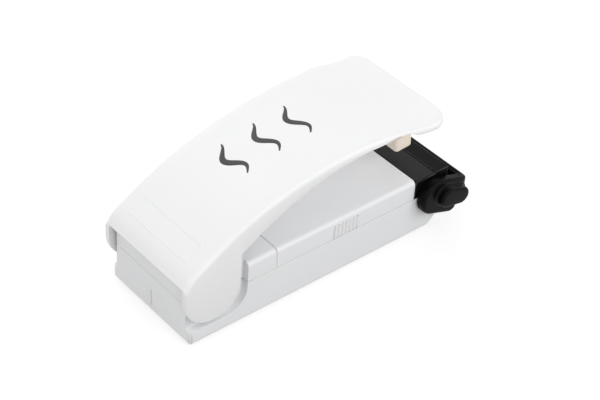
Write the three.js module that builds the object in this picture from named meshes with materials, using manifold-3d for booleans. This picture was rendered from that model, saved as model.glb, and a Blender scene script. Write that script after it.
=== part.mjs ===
// Handheld heat sealer, as an assembly of its separate pieces.
// Millimetres. X runs from the hinge end to the jaw end, Z is up, and the origin is the
// centre of the flat base. The lever stands open, at rest on its return spring.

import * as THREE from 'three';
import { mergeVertices } from 'three/addons/utils/BufferGeometryUtils.js';
import Module from 'manifold-3d';

const wasm = await Module();
wasm.setup();

// Battery cells and their contacts, which the body is built round
const fitGap = 0.3;
const cellRadius = 7.25;
const cellLength = 49.5;
const cellNubRadius = 2.75;
const cellNubLength = 1;
const cellChamfer = 0.6;
const cellSpacing = 14.9;
const cellHeadroom = 3.2;
const cellSideRoom = 2.7;
const contactThickness = 0.5;
const contactWidth = 10;
const contactFoot = 2.2;
const contactTopDrop = 0.5;
const batterySpringWire = 0.5;
const batterySpringRadius = 3.2;
const batterySpringTipRadius = 1.8;
const batterySpringTurns = 2;
const batterySpringLength = 2.5;
const batteryRearWall = 30.1;
const batteryWallThickness = 1.4;
const bayLength = cellLength + cellNubLength + batterySpringLength + 2 * contactThickness + 5 * fitGap;

// Body shell; its upper pieces stand on the seam
const shellWall = 1.6;
const shellEdgeRadius = 1.5;
const jawRoom = 12.8;
const bodyLength = batteryRearWall + bayLength + jawRoom;
const bodyWidth = cellSpacing + 2 * (cellRadius + cellSideRoom + shellWall);
const bodyHeight = 2 * (shellWall + cellRadius) + cellHeadroom;
const upperDepth = 7;
const seamHeight = bodyHeight - upperDepth;
const toeLength = 7;
const toeHeight = 7.2;
const capOverlap = 0.7;
const capLength = batteryRearWall + capOverlap;
const headLength = 13.5;
const seamGap = 0.3;
const cutOverrun = 1;

// Recess in each body side for the lever's ear
const earRecessLength = 20.3;
const earRecessRadius = 7;
const earLedgeHeight = 5;

// Hinge and lever
const hingeSetback = 7.7;
const hingePinRadius = 2.3;
const hingePinReach = 2.1;
const earRadius = 9.6;
const earCentreRise = 2.3;
const earCentreHeight = seamHeight + earCentreRise;
const earThickness = 1.8;
const earProud = 0.5;
const earClearance = 0.9;
const leverOverhang = 1.9;
const leverFrontSetback = 4.8;
const leverLength = bodyLength + leverOverhang - leverFrontSetback;
const leverRearGap = 0.7;
const leverRearHeight = bodyHeight + leverRearGap;
const leverRise = 23.3;
const leverFrontProud = 2.9;
const leverFrontWidth = bodyWidth + 2 * leverFrontProud;
const leverFlarePower = 1.7;
const leverWall = 1.4;
const leverEdgeRadius = 1.8;
const leverEdgeShare = 0.85;
const leverCornerRadius = 5.5;
const leverRearRadius = 2;
const skirtDepth = 9;
const skirtPower = 2.4;
const lipDepth = 1.2;
const lipLeast = 0.2;
const lipFlare = 0.9;
const lipFlareSetback = 14.4;
const lipFlareLength = 4;
const lipHeightGap = 0.3;
const ribDepth = 2;
const ribThickness = 1.2;
const ribPlaceShares = [0.36, 0.47, 0.58];
// Top line of the lever, as shares of its length and of its rise
const leverTopShares = [
  [0, 0], [0.022, 0.129], [0.069, 0.266], [0.171, 0.507], [0.271, 0.687], [0.368, 0.815],
  [0.462, 0.906], [0.56, 0.966], [0.662, 0.996], [0.769, 0.978], [0.876, 0.927], [1, 0.927],
];

// Return spring between the rear cap and the lever
const springSetback = 16;
const springRadius = 3.3;
const springWire = 0.8;
const springTurns = 4.5;
const springRoom = 8.6;
const springSeatHeight = bodyHeight + springRoom;
const springSeatRadius = 4.6;
const springSpigotRadius = 1.6;
const springSpigotHeight = 2.2;
const springPegRadius = 1.2;
const springPegLength = 2.4;

// Plunger and switch
const plungerSetback = 26;
const plungerRadius = 1.6;
const plungerHoleGap = 1.1;
const leafThickness = 0.4;
const leafWidth = 5;
const upperLeafRise = 2.3;
const upperLeafHeight = seamHeight + upperLeafRise;
const upperLeafPivotSetback = 13.5;
const upperLeafTail = 1.9;
const upperLeafLength = 17;
const upperPostLength = 3.6;
const lowerLeafDrop = 0.55;
const lowerLeafHeight = seamHeight - lowerLeafDrop;
const lowerLeafWidth = 3.6;
const lowerLeafReach = 10.5;
const lowerPostLength = 3.8;
const contactBumpRadius = 1.2;
const contactBumpHeight = 0.4;
const leafScrewOffset = 8.9;
const leafScrewRadius = 1;
const leafScrewHeadRadius = 1.9;
const leafScrewHeadHeight = 1.1;
const leafScrewLength = 6;

// Heater head, ribbon and film
const grooveSetback = 5.8;
const grooveWidth = 0.5;
const filmThickness = 0.25;
const ribbonWidth = 2.2;
const ribbonThickness = 0.25;
const ribbonSpan = 26;
const ribbonLegDrop = 5.3;
const ribbonLegFoot = seamHeight - ribbonLegDrop;
const terminalThickness = 0.6;
const terminalWidth = 3.2;
const terminalDrop = 6.4;
const terminalFoot = seamHeight - terminalDrop;

// Pad and its carrier, placed where they lie when the lever is pressed home
const padSetback = 10.05;
const padWidth = 6.4;
const padLength = 19.2;
const padHeight = 5;
const padCornerRadius = 0.5;
const padSlotDepth = 2.2;
const padPressGap = 0.3;
const carrierBladeThickness = 2.6;
const carrierBodyOverhang = 0.6;
const carrierStandoff = 2.4;
const carrierFlangeReach = 16.8;
const carrierFlangeThickness = 1.8;
const carrierFlangeDrop = 7.5;
const carrierFlangeHeight = leverRearHeight + leverRise - carrierFlangeDrop;
const carrierScrewOffset = 14;
const carrierScrewRadius = 1;
const carrierScrewHeadRadius = 1.9;
const carrierScrewHeadHeight = 1.2;
const carrierScrewLength = 4.3;
const carrierBossRadius = 2.6;
const leverSwing = 3.75;

// Guard round the head; each cheek is the hull of a disc by the pivot and two in front
const guardPivotSetback = 6.4;
const guardPinRadius = 1.8;
const guardPinReach = 2;
const guardCheekThickness = 3;
const guardCheekGap = 0.4;
const guardRearDrop = 0.5;
const guardRearRadius = 6.05;
const guardUpperReach = 11.3;
const guardUpperDrop = 0.2;
const guardUpperRadius = 2.5;
const guardLowerReach = 6.6;
const guardLowerDrop = 6.3;
const guardLowerRadius = 2.7;
const guardRimRadius = 1.2;
const guardPlanRadius = 4;
const guardWallThickness = 2.2;
const guardWallSetback = 5.5;
const guardSwingRadius = 10.3;
const bossRearReach = 3;
const bossRearDrop = 0.3;
const bossRearRadius = 3.4;
const bossFrontReach = 8.4;
const bossFrontDrop = 1.8;
const bossFrontRadius = 2.9;
const bossProud = 2.6;
const bossRimRadius = 0.8;
const bossFlare = 0.6;
const bossFlareHeight = 0.9;

// Battery cover
const coverTabLength = 6;
const coverTabThickness = 1;
const coverTabDrop = 1.8;
const coverTabPlaceShares = [0.22, 0.78];
const gripStart = 21.6;
const gripRidges = 7;
const gripPitch = 1.45;
const gripRidgeWidth = 0.7;
const gripRidgeProud = 0.3;
const gripRidgeHeight = 4.6;
const gripRidgeRise = 0.5;
const gripRidgeBase = seamHeight + gripRidgeRise;

// Ribs under the cells
const cradleThickness = 1.2;
const cradleHeight = 5;
const cradleSideRoom = 3.4;
const cradlePlaceShares = [0.28, 0.72];

// Screws that hold the shells together
const screwRadius = 1.1;
const screwHeadRadius = 2.3;
const screwHeadHeight = 1.5;
const screwHeadSink = 0.5;
const screwBossRadius = 3;
const screwTopDrop = 2.9;
const screwTop = bodyHeight - screwTopDrop;
const screwSlotWidth = 0.7;
const screwSlotDepth = 0.7;
const screwSlotShare = 0.7;
const rearScrewSetback = 5.6;
const rearScrewOffset = 10.5;
const frontScrewSetback = 9.7;
const frontScrewOffset = 6.5;

// Leads
const leadRadius = 0.6;
const leadSideRoom = 0.8;
const leadNotchDepth = 8;
const leadHoleGap = 0.4;
const leadEntryRise = 2.4;
const returnBendSetback = 11;
const returnBendGap = 4.2;

// Small rib on the rear face
const rearRibWidth = 1;
const rearRibProud = 0.3;
const rearRibBase = 2.8;
const rearRibHeight = 5.9;

// Steps on round shapes
const arcSteps = 3;
const rodSides = 20;
const smallRodSides = 12;
const leverSteps = 34;
const cornerSteps = 5;
const edgeSteps = 4;
const leadSides = 8;
const leadPointSteps = 4;
const topLineSteps = 204;
const curlSteps = 8;
const curlSides = 5;

// Places worked out from the sizes
const rear = -bodyLength / 2;
const front = bodyLength / 2;
const side = bodyWidth / 2;
const leadChannel = side - shellWall - leadSideRoom - leadRadius;
const cradleReach = side - shellWall - cradleSideRoom;
const capFront = rear + capLength;
const headRear = front - headLength;
const coverRear = capFront + seamGap / 2;
const coverFront = headRear - seamGap / 2;
const shellTop = seamHeight - seamGap / 2;
const topBase = seamHeight + seamGap / 2;
const ceiling = bodyHeight - shellWall;
const earOuter = side + earProud;
const earInner = earOuter - earThickness;
const recessFloor = earInner - earClearance;
const recessFront = rear + earRecessLength;
const hingeX = rear + hingeSetback;
const hingeZ = seamHeight;
const leverRear = rear - leverOverhang;
const leverFront = leverRear + leverLength;
const earFront = hingeX + earRadius;
const springX = rear + springSetback;
const plungerX = rear + plungerSetback;
const plungerTip = upperLeafHeight + leafThickness + fitGap;
const batteryRear = rear + batteryRearWall;
const contactRear = batteryRear + fitGap;
const cellRear = contactRear + contactThickness + fitGap + batterySpringLength + fitGap;
const cellFront = cellRear + cellLength + cellNubLength;
const contactFront = cellFront + fitGap;
const batteryFront = contactFront + contactThickness + fitGap;
const cellHeight = shellWall + fitGap + cellRadius;
const cellOffset = cellSpacing / 2;
const grooveX = front - grooveSetback;
const ribbonX = (headRear + grooveX) / 2;
const padX = front - padSetback;
const padFace = bodyHeight + padPressGap;
const guardX = front - guardPivotSetback;
const guardZ = seamHeight;
const cheekInner = side + guardCheekGap;
const cheekOuter = cheekInner + guardCheekThickness;

const quarterTurn = 90;

// Colours and finishes
const white = { color: 0xe4e4e6, roughness: 0.42, metalness: 0 };
const black = { color: 0x1d1d1f, roughness: 0.5, metalness: 0 };
const cream = { color: 0xe9dccb, roughness: 0.7, metalness: 0 };
const film = { color: 0x2a2a2c, roughness: 0.6, metalness: 0 };
const steel = { color: 0xb8bcc0, roughness: 0.3, metalness: 1 };
const brass = { color: 0xc9a24b, roughness: 0.35, metalness: 1 };
const nichrome = { color: 0x8d8a86, roughness: 0.4, metalness: 1 };
const jacket = { color: 0x3a7a4a, roughness: 0.4, metalness: 0.2 };
const redSleeve = { color: 0xb02420, roughness: 0.5, metalness: 0 };
const blackSleeve = { color: 0x202022, roughness: 0.5, metalness: 0 };

// A closed solid from any closed geometry
function toSolid(geometry) {
  const bare = geometry.clone();
  bare.deleteAttribute('normal');
  bare.deleteAttribute('uv');
  const merged = mergeVertices(bare);
  return new wasm.Manifold(new wasm.Mesh({
    numProp: 3,
    vertProperties: new Float32Array(merged.attributes.position.array),
    triVerts: new Uint32Array(merged.index.array),
  }));
}

// A named mesh from a solid
function piece(name, solid, finish) {
  const { numProp, vertProperties, triVerts } = solid.getMesh();
  const geometry = new THREE.BufferGeometry();
  geometry.setAttribute('position', new THREE.BufferAttribute(vertProperties, numProp));
  geometry.setIndex(new THREE.BufferAttribute(triVerts, 1));
  const flat = geometry.toNonIndexed();
  flat.computeVertexNormals();
  const mesh = new THREE.Mesh(flat, new THREE.MeshStandardMaterial(finish));
  mesh.name = name;
  return mesh;
}

// Union of a list of solids
function join(solids) {
  return solids.reduce((sum, next) => sum.add(next));
}

// One solid with a list of others taken away
function cut(solid, tools) {
  return tools.reduce((rest, tool) => rest.subtract(tool), solid);
}

// A box from its lowest and highest corners
function block(x0, x1, y0, y1, z0, z1) {
  const box = new THREE.BoxGeometry(x1 - x0, y1 - y0, z1 - z0);
  return toSolid(box.translate((x0 + x1) / 2, (y0 + y1) / 2, (z0 + z1) / 2));
}

// Round rods along Z and along Y
function rodZ(radius, x, y, z0, z1, sides = smallRodSides) {
  const rod = new THREE.CylinderGeometry(radius, radius, z1 - z0, sides);
  return toSolid(rod.rotateX(Math.PI / 2).translate(x, y, (z0 + z1) / 2));
}

function rodY(radius, x, z, y0, y1, sides = rodSides) {
  const rod = new THREE.CylinderGeometry(radius, radius, y1 - y0, sides);
  return toSolid(rod.translate(x, (y0 + y1) / 2, z));
}

function rodX(radius, y, z, x0, x1, sides = smallRodSides) {
  const rod = new THREE.CylinderGeometry(radius, radius, x1 - x0, sides);
  return toSolid(rod.rotateZ(Math.PI / 2).translate((x0 + x1) / 2, y, z));
}

// Outline through corners [u, v, radius]; a corner with a radius becomes an arc
function rounded(corners) {
  const shape = new THREE.Shape();
  corners.forEach(([u, v, radius = 0], i) => {
    const here = new THREE.Vector2(u, v);
    const before = corners[(i + corners.length - 1) % corners.length];
    const after = corners[(i + 1) % corners.length];
    const back = new THREE.Vector2(before[0], before[1]).sub(here).normalize();
    const ahead = new THREE.Vector2(after[0], after[1]).sub(here).normalize();
    if (radius > 0) {
      const half = Math.acos(back.dot(ahead)) / 2;
      const start = here.clone().addScaledVector(back, radius / Math.tan(half));
      const end = here.clone().addScaledVector(ahead, radius / Math.tan(half));
      const middle = back.clone().add(ahead).normalize();
      const centre = here.clone().addScaledVector(middle, radius / Math.sin(half));
      const from = start.clone().sub(centre).angle();
      const to = end.clone().sub(centre).angle();
      const clockwise = back.cross(ahead) > 0;
      if (i === 0) shape.moveTo(start.x, start.y);
      else shape.lineTo(start.x, start.y);
      shape.absarc(centre.x, centre.y, radius, from, to, clockwise);
    } else if (i === 0) shape.moveTo(u, v);
    else shape.lineTo(u, v);
  });
  shape.closePath();
  return shape;
}

// Extrusions of an outline: (x, z) along Y, (y, z) along X, (x, y) along Z
function extruded(shape, depth, steps) {
  return new THREE.ExtrudeGeometry(shape, { depth, bevelEnabled: false, curveSegments: steps });
}

function alongY(shape, y0, y1, steps = arcSteps) {
  return toSolid(extruded(shape, y1 - y0, steps).rotateX(Math.PI / 2).translate(0, y1, 0));
}

function alongX(shape, x0, x1, steps = arcSteps) {
  const turn = new THREE.Matrix4().makeBasis(
    new THREE.Vector3(0, 1, 0), new THREE.Vector3(0, 0, 1), new THREE.Vector3(1, 0, 0));
  return toSolid(extruded(shape, x1 - x0, steps).applyMatrix4(turn).translate(x0, 0, 0));
}

function alongZ(shape, z0, z1, steps = arcSteps) {
  return toSolid(extruded(shape, z1 - z0, steps).translate(0, 0, z0));
}

// The same tool on both sides of the centre plane
function bothSides(make) {
  return [-1, 1].map(make);
}

// A tube with flat ends that follows a list of points
function tube(points, radius, sides, steps) {
  const ring = new THREE.Shape(Array.from({ length: sides }, (_, i) => new THREE.Vector2(
    radius * Math.cos(2 * Math.PI * i / sides), radius * Math.sin(2 * Math.PI * i / sides))));
  const path = new THREE.CatmullRomCurve3(points, false, 'centripetal');
  return toSolid(new THREE.ExtrudeGeometry(ring, { steps, extrudePath: path, bevelEnabled: false }));
}

// Points of a coil round the Z axis whose ends run straight for one wire diameter
function coilPoints(height, turns, wire, radiusAt) {
  const steps = Math.round(turns * curlSteps);
  const points = [new THREE.Vector3(radiusAt(0), 0, 0)];
  for (let i = 0; i <= steps; i += 1) {
    const share = i / steps;
    const angle = 2 * Math.PI * turns * share;
    const z = wire + share * (height - 2 * wire);
    points.push(new THREE.Vector3(
      radiusAt(share) * Math.cos(angle), radiusAt(share) * Math.sin(angle), z));
  }
  const last = points[points.length - 1];
  points.push(new THREE.Vector3(last.x, last.y, height));
  return points;
}

// Least gap between turns, for points more than half a turn apart
function leastGap(points, wire) {
  let least = Infinity;
  points.forEach((p, i) => points.slice(i + curlSteps / 2).forEach((q) => {
    least = Math.min(least, p.distanceTo(q) - wire);
  }));
  return least;
}

// A coil spring as one unbroken tube
function coil(name, height, turns, wire, radiusAt) {
  const points = coilPoints(height, turns, wire, radiusAt);
  console.log(`${name}: least gap between turns ${leastGap(points, wire).toFixed(2)} mm`);
  return tube(points, wire / 2, curlSides, points.length - 1);
}

// Screw with a slotted head below and its shank above, or the other way up
function screwFromBelow(x, y, headBase, tip) {
  const headTop = headBase + screwHeadHeight;
  const head = rodZ(screwHeadRadius, x, y, headBase, headTop);
  const shank = rodZ(screwRadius, x, y, headTop - cutOverrun / 2, tip);
  const slot = screwSlotWidth / 2;
  const reach = screwHeadRadius * screwSlotShare;
  return cut(join([head, shank]), [
    block(x - reach, x + reach, y - slot, y + slot, headBase - cutOverrun, headBase + screwSlotDepth),
    block(x - slot, x + slot, y - reach, y + reach, headBase - cutOverrun, headBase + screwSlotDepth),
  ]);
}

function screwFromAbove(x, y, seat, length, radius, headRadius, headHeight) {
  const top = seat + headHeight;
  const head = rodZ(headRadius, x, y, seat, top);
  const shank = rodZ(radius, x, y, seat - length, seat + headHeight / 2);
  const slot = block(x - headRadius - cutOverrun, x + headRadius + cutOverrun,
    y - screwSlotWidth / 2, y + screwSlotWidth / 2, top - headHeight / 2, top + cutOverrun);
  return join([head, shank]).subtract(slot);
}

// Places of the housing screws: two at the rear, two under the head
const housingScrews = [
  ...bothSides((s) => [rear + rearScrewSetback, s * rearScrewOffset]),
  ...bothSides((s) => [front - frontScrewSetback, s * frontScrewOffset]),
];

// Outer form of the lower shell, drawn in by an inset
function lowerForm(inset, top) {
  const slant = Math.hypot(toeLength, toeHeight);
  const radius = Math.max(shellEdgeRadius - inset, 0);
  const toeFoot = front - toeLength - inset * (slant - toeLength) / toeHeight;
  const toeTop = toeHeight + inset * (slant - toeHeight) / toeLength;
  const profile = rounded([
    [rear + inset, inset, radius], [toeFoot, inset, radius], [front - inset, toeTop, radius],
    [front - inset, top], [rear + inset, top]]);
  return alongY(profile, -side, side).intersect(sleeve(inset, inset, top, radius));
}

// Straight sleeve with the body's width, whose lower and upright edges are rounded
function sleeve(inset, bottom, top, radius) {
  const half = side - inset;
  const section = rounded([[-half, bottom, radius], [half, bottom, radius], [half, top], [-half, top]]);
  const plan = rounded([
    [rear + inset, -half, radius], [front - inset, -half, radius],
    [front - inset, half, radius], [rear + inset, half, radius]]);
  return alongX(section, rear, front).intersect(alongZ(plan, bottom, top));
}

// Recess for an ear, open to the rear and to the top
function earRecess(s, inset) {
  const floor = recessFloor - inset;
  const outer = side + cutOverrun;
  const profile = rounded([
    [rear - cutOverrun, earLedgeHeight - inset],
    [recessFront + inset, earLedgeHeight - inset, earRecessRadius],
    [recessFront + inset, bodyHeight + cutOverrun], [rear - cutOverrun, bodyHeight + cutOverrun]]);
  return alongY(profile, s > 0 ? floor : -outer, s > 0 ? outer : -floor, arcSteps + 1);
}

// Bores for the hinge pins and for the guard's pins, shared by the shells
function hingeBore() {
  return rodY(hingePinRadius + fitGap, hingeX, hingeZ, -side, side);
}

function guardBores() {
  const depth = side - guardPinReach - fitGap - cutOverrun / 2;
  return bothSides((s) => rodY(guardPinRadius + fitGap, guardX, guardZ,
    s > 0 ? depth : -side - cutOverrun, s > 0 ? side + cutOverrun : -depth));
}

function lowerShell() {
  const cavity = cut(lowerForm(shellWall, seamHeight + cutOverrun),
    bothSides((s) => earRecess(s, shellWall)));
  const shell = cut(lowerForm(0, shellTop), [...bothSides((s) => earRecess(s, 0)), cavity]);
  const floor = shellWall / 2;
  const inner = side - shellWall / 2;
  const wall = (x0) => block(x0, x0 + batteryWallThickness, -inner, inner, floor, shellTop);
  const bosses = housingScrews.map(([x, y]) => rodZ(screwBossRadius, x, y, floor, shellTop, rodSides));
  const upperPost = block(rear + upperLeafPivotSetback - upperPostLength / 2,
    rear + upperLeafPivotSetback + upperPostLength / 2, -leafWidth / 2, leafWidth / 2,
    floor, upperLeafHeight - fitGap);
  const lowerPost = block(batteryRear - batteryWallThickness - lowerPostLength,
    batteryRear - batteryWallThickness / 2, leafScrewOffset - lowerLeafWidth / 2,
    leafScrewOffset + lowerLeafWidth / 2, floor, lowerLeafHeight - fitGap);
  const body = join([shell, wall(batteryRear - batteryWallThickness), wall(batteryFront), ...bosses,
    upperPost, lowerPost, ...cradles(), rearRib()]);
  return cut(body, [...screwBores(), hingeBore(), ...guardBores(), ...leadNotches(),
    leadHole(), ...leafScrewBores()]);
}

// Ribs that cradle the cells
function cradles() {
  const bay = batteryFront - batteryRear;
  return cradlePlaceShares.map((share) => {
    const x = batteryRear + share * bay;
    const rib = block(x, x + cradleThickness, -cradleReach, cradleReach, shellWall / 2, cradleHeight);
    const seats = bothSides((s) => rodX(cellRadius + fitGap, s * cellOffset, cellHeight,
      x - cutOverrun, x + cradleThickness + cutOverrun, rodSides));
    return cut(rib, seats);
  });
}

// Small upright rib on the rear face
function rearRib() {
  return block(rear - rearRibProud, rear + shellWall / 2, -rearRibWidth / 2, rearRibWidth / 2,
    rearRibBase, rearRibBase + rearRibHeight);
}

// Clearance for each housing screw: counterbore below and shank bore above
function screwBores() {
  return housingScrews.flatMap(([x, y]) => [
    rodZ(screwHeadRadius + fitGap, x, y, -cutOverrun, screwHeadSink + screwHeadHeight + fitGap, rodSides),
    rodZ(screwRadius + fitGap, x, y, 0, screwTop + fitGap),
  ]);
}

// Notches for the leads at the ends of both battery walls
function leadNotches() {
  const low = shellTop - leadNotchDepth;
  const room = leadRadius + leadHoleGap;
  return [batteryRear - batteryWallThickness, batteryFront].flatMap((x) => bothSides((s) => block(
    x - cutOverrun / 2, x + batteryWallThickness + cutOverrun / 2,
    s * leadChannel - room, s * leadChannel + room, low, shellTop + cutOverrun)));
}

// Hole in the rear battery wall for the switch lead
function leadHole() {
  return rodX(leadRadius + leadHoleGap, -cellOffset, cellHeight,
    batteryRear - batteryWallThickness - cutOverrun, batteryRear + cutOverrun);
}

function leafScrewBores() {
  const radius = leafScrewRadius + fitGap;
  return [
    rodZ(radius, rear + upperLeafPivotSetback, 0, upperLeafHeight - leafScrewLength - fitGap, bodyHeight),
    rodZ(radius, lowerScrewX(), leafScrewOffset, lowerLeafHeight - leafScrewLength - fitGap, bodyHeight),
  ];
}

function rearCap() {
  const radius = shellEdgeRadius;
  const end = capFront - seamGap / 2;
  const form = (inset, base, stop) => {
    const half = side - inset;
    const r = Math.max(radius - inset, 0);
    const profile = rounded([
      [rear + inset, base], [stop, base], [stop, bodyHeight - inset], [rear + inset, bodyHeight - inset, r]]);
    const section = rounded([
      [-half, base], [half, base], [half, bodyHeight - inset, r], [-half, bodyHeight - inset, r]]);
    const plan = rounded([[rear + inset, -half, r], [stop, -half], [stop, half], [rear + inset, half, r]]);
    return alongY(profile, -half, half).intersect(alongX(section, rear + inset, stop))
      .intersect(alongZ(plan, base, bodyHeight - inset));
  };
  const cavity = cut(form(shellWall, topBase - cutOverrun, end - shellWall),
    bothSides((s) => earRecess(s, shellWall)));
  const cap = cut(form(0, topBase, end), [...bothSides((s) => earRecess(s, 0)), cavity]);
  const bosses = housingScrews.filter(([x]) => x < capFront)
    .map(([x, y]) => rodZ(screwBossRadius, x, y, topBase, ceiling + shellWall / 2, rodSides));
  const spigot = rodZ(springSpigotRadius, springX, 0, bodyHeight - shellWall / 2,
    bodyHeight + springSpigotHeight);
  return cut(join([cap, ...bosses, spigot]), [
    ...screwBores(), hingeBore(),
    rodZ(plungerRadius + plungerHoleGap, plungerX, 0, topBase, bodyHeight + cutOverrun, rodSides),
  ]);
}

function batteryCover() {
  const form = (inset, overrun) => {
    const half = side - inset;
    const base = topBase - overrun;
    const r = Math.max(shellEdgeRadius - inset, 0);
    const section = rounded([
      [-half, base], [half, base], [half, bodyHeight - inset, r], [-half, bodyHeight - inset, r]]);
    return alongX(section, coverRear - overrun, coverFront + overrun);
  };
  const shell = form(0, 0).subtract(form(shellWall, cutOverrun));
  const length = coverFront - coverRear;
  const tabs = coverTabPlaceShares.flatMap((share) => bothSides((s) => {
    const x = coverRear + share * length - coverTabLength / 2;
    const outer = side - shellWall - fitGap;
    const y0 = s > 0 ? outer - coverTabThickness : -outer;
    const foot = block(x, x + coverTabLength, y0, y0 + coverTabThickness,
      topBase - coverTabDrop, topBase + shellWall);
    const w0 = s > 0 ? outer - coverTabThickness : -side + shellWall / 2;
    const w1 = s > 0 ? side - shellWall / 2 : -outer + coverTabThickness;
    return join([foot, block(x, x + coverTabLength, w0, w1, topBase, topBase + shellWall)]);
  }));
  return join([shell, ...tabs, ...gripRidgeSet()]);
}

// Upright ridges for the fingers, on both sides of the cover
function gripRidgeSet() {
  return Array.from({ length: gripRidges }, (_, i) => coverRear + gripStart + i * gripPitch)
    .flatMap((x) => bothSides((s) => {
      const y0 = s > 0 ? side - shellWall / 2 : -side - gripRidgeProud;
      const y1 = s > 0 ? side + gripRidgeProud : -side + shellWall / 2;
      return block(x, x + gripRidgeWidth, y0, y1, gripRidgeBase, gripRidgeBase + gripRidgeHeight);
    }));
}

// Head with a step for the film, a channel for the ribbon and slots for its legs
function heaterHead() {
  const box = block(headRear + seamGap / 2, front, -side, side, topBase, bodyHeight);
  const step = bodyHeight - filmThickness - fitGap;
  const channel = ribbonWidth / 2 + fitGap;
  const legOuter = ribbonSpan / 2 + fitGap;
  const legInner = ribbonSpan / 2 - ribbonThickness - fitGap;
  return cut(box, [
    block(headRear - cutOverrun, grooveX + grooveWidth, -side - cutOverrun, side + cutOverrun,
      step, bodyHeight + cutOverrun),
    block(ribbonX - channel, ribbonX + channel, -legOuter, legOuter,
      step - ribbonThickness - fitGap, bodyHeight),
    ...bothSides((s) => block(ribbonX - channel, ribbonX + channel,
      s > 0 ? legInner : -legOuter, s > 0 ? legOuter : -legInner, topBase - cutOverrun, bodyHeight)),
    ...screwBores(), ...guardBores(),
  ]);
}

// Flat ribbon across the head, with a leg down through it at each end
function heatingRibbon() {
  const top = bodyHeight - filmThickness - fitGap;
  const half = ribbonSpan / 2;
  const inner = half - ribbonThickness;
  const strip = rounded([
    [-half, ribbonLegFoot], [-inner, ribbonLegFoot], [-inner, top - ribbonThickness],
    [inner, top - ribbonThickness], [inner, ribbonLegFoot], [half, ribbonLegFoot],
    [half, top], [-half, top]]);
  return alongX(strip, ribbonX - ribbonWidth / 2, ribbonX + ribbonWidth / 2);
}

// Film over the rear half of the head; the groove is the gap at its front edge
function heaterFilm() {
  return block(headRear + seamGap / 2, grooveX, -side, side, bodyHeight - filmThickness, bodyHeight);
}

function ribbonTerminal(s) {
  const inner = ribbonSpan / 2 + fitGap;
  const outer = inner + terminalThickness;
  return block(ribbonX - terminalWidth / 2, ribbonX + terminalWidth / 2,
    s > 0 ? inner : -outer, s > 0 ? outer : -inner, terminalFoot, topBase - fitGap);
}

// The lever's top line, sampled from a smooth curve
const leverTopLine = new THREE.SplineCurve(leverTopShares.map(([along, up]) => new THREE.Vector2(
  leverRear + along * leverLength, leverRearHeight + up * leverRise))).getPoints(topLineSteps);

function leverTop(x) {
  const i = Math.max(1, leverTopLine.findIndex((p) => p.x >= x));
  const [a, b] = [leverTopLine[i - 1], leverTopLine[i]];
  const slope = (b.y - a.y) / (b.x - a.x);
  return { z: a.y + slope * (x - a.x), slope };
}

// How far a rounded corner has drawn in at a distance past its start
function drawnIn(radius, past) {
  return radius - Math.sqrt(Math.max(0, radius ** 2 - past ** 2));
}

// Cross-section of the lever at x: half width, edge radius, top, underside and lower edge
function leverSection(x) {
  const { z, slope } = leverTop(x);
  const along = Math.max(0, (x - earFront) / (leverFront - earFront));
  const edge = Math.max(0, x - (leverFront - leverCornerRadius));
  const tail = Math.max(0, leverRear + leverRearRadius - x);
  const half = earOuter + along ** leverFlarePower * (leverFrontWidth / 2 - earOuter)
    - drawnIn(leverCornerRadius, edge) - drawnIn(leverRearRadius, tail);
  const flareStart = leverFront - lipFlareSetback;
  const depth = lipDepth + (skirtDepth - lipDepth) * (1 - along) ** skirtPower
    + lipFlare * THREE.MathUtils.smoothstep(x, flareStart, flareStart + lipFlareLength);
  const under = z - leverWall * Math.sqrt(1 + slope ** 2);
  const low = Math.min(Math.max(z - depth, earCentreHeight), under - lipLeast);
  const radius = Math.min(leverEdgeRadius, leverEdgeShare * (z - low));
  return { x, half, top: z, under, low, radius };
}

// Stations along the lever, closer together round its plan corners
function leverStations() {
  const start = leverRear + leverRearRadius;
  const stop = leverFront - leverCornerRadius;
  const ends = (steps, place) => Array.from({ length: steps }, (_, i) => place((i + 1) / steps));
  return [
    ...ends(cornerSteps - 1, (t) => start
      - leverRearRadius * Math.cos((t - 1 / (cornerSteps - 1)) * Math.PI / 2)),
    ...Array.from({ length: leverSteps + 1 }, (_, i) => start + (stop - start) * i / leverSteps),
    ...ends(cornerSteps, (t) => stop + leverCornerRadius * Math.sin(t * Math.PI / 2)),
  ];
}

// Half outline of the section from its lower outer edge to the middle of the top
function outerArc({ half, top, radius }, low) {
  const points = [[half, low]];
  for (let i = 0; i <= edgeSteps; i += 1) {
    const angle = i / edgeSteps * Math.PI / 2;
    points.push([half - radius * (1 - Math.cos(angle)), top - radius * (1 - Math.sin(angle))]);
  }
  return points;
}

function innerArc({ half, under, low, radius }) {
  const wall = half - leverWall;
  const corner = Math.min(radius, under - low) / 2;
  return [[wall, low], [wall, under - corner], [wall - corner, under]];
}

// Closed loop of (y, z) points: a channel, or the filled form down to the floor
function leverLoop(section, filled) {
  const outer = outerArc(section, filled ? 0 : section.low);
  const across = [...outer, ...outer.map(([y, z]) => [-y, z]).reverse()];
  if (filled) return across;
  const inner = innerArc(section);
  return [...across, ...inner.map(([y, z]) => [-y, z]), ...inner.slice().reverse()];
}

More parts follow.
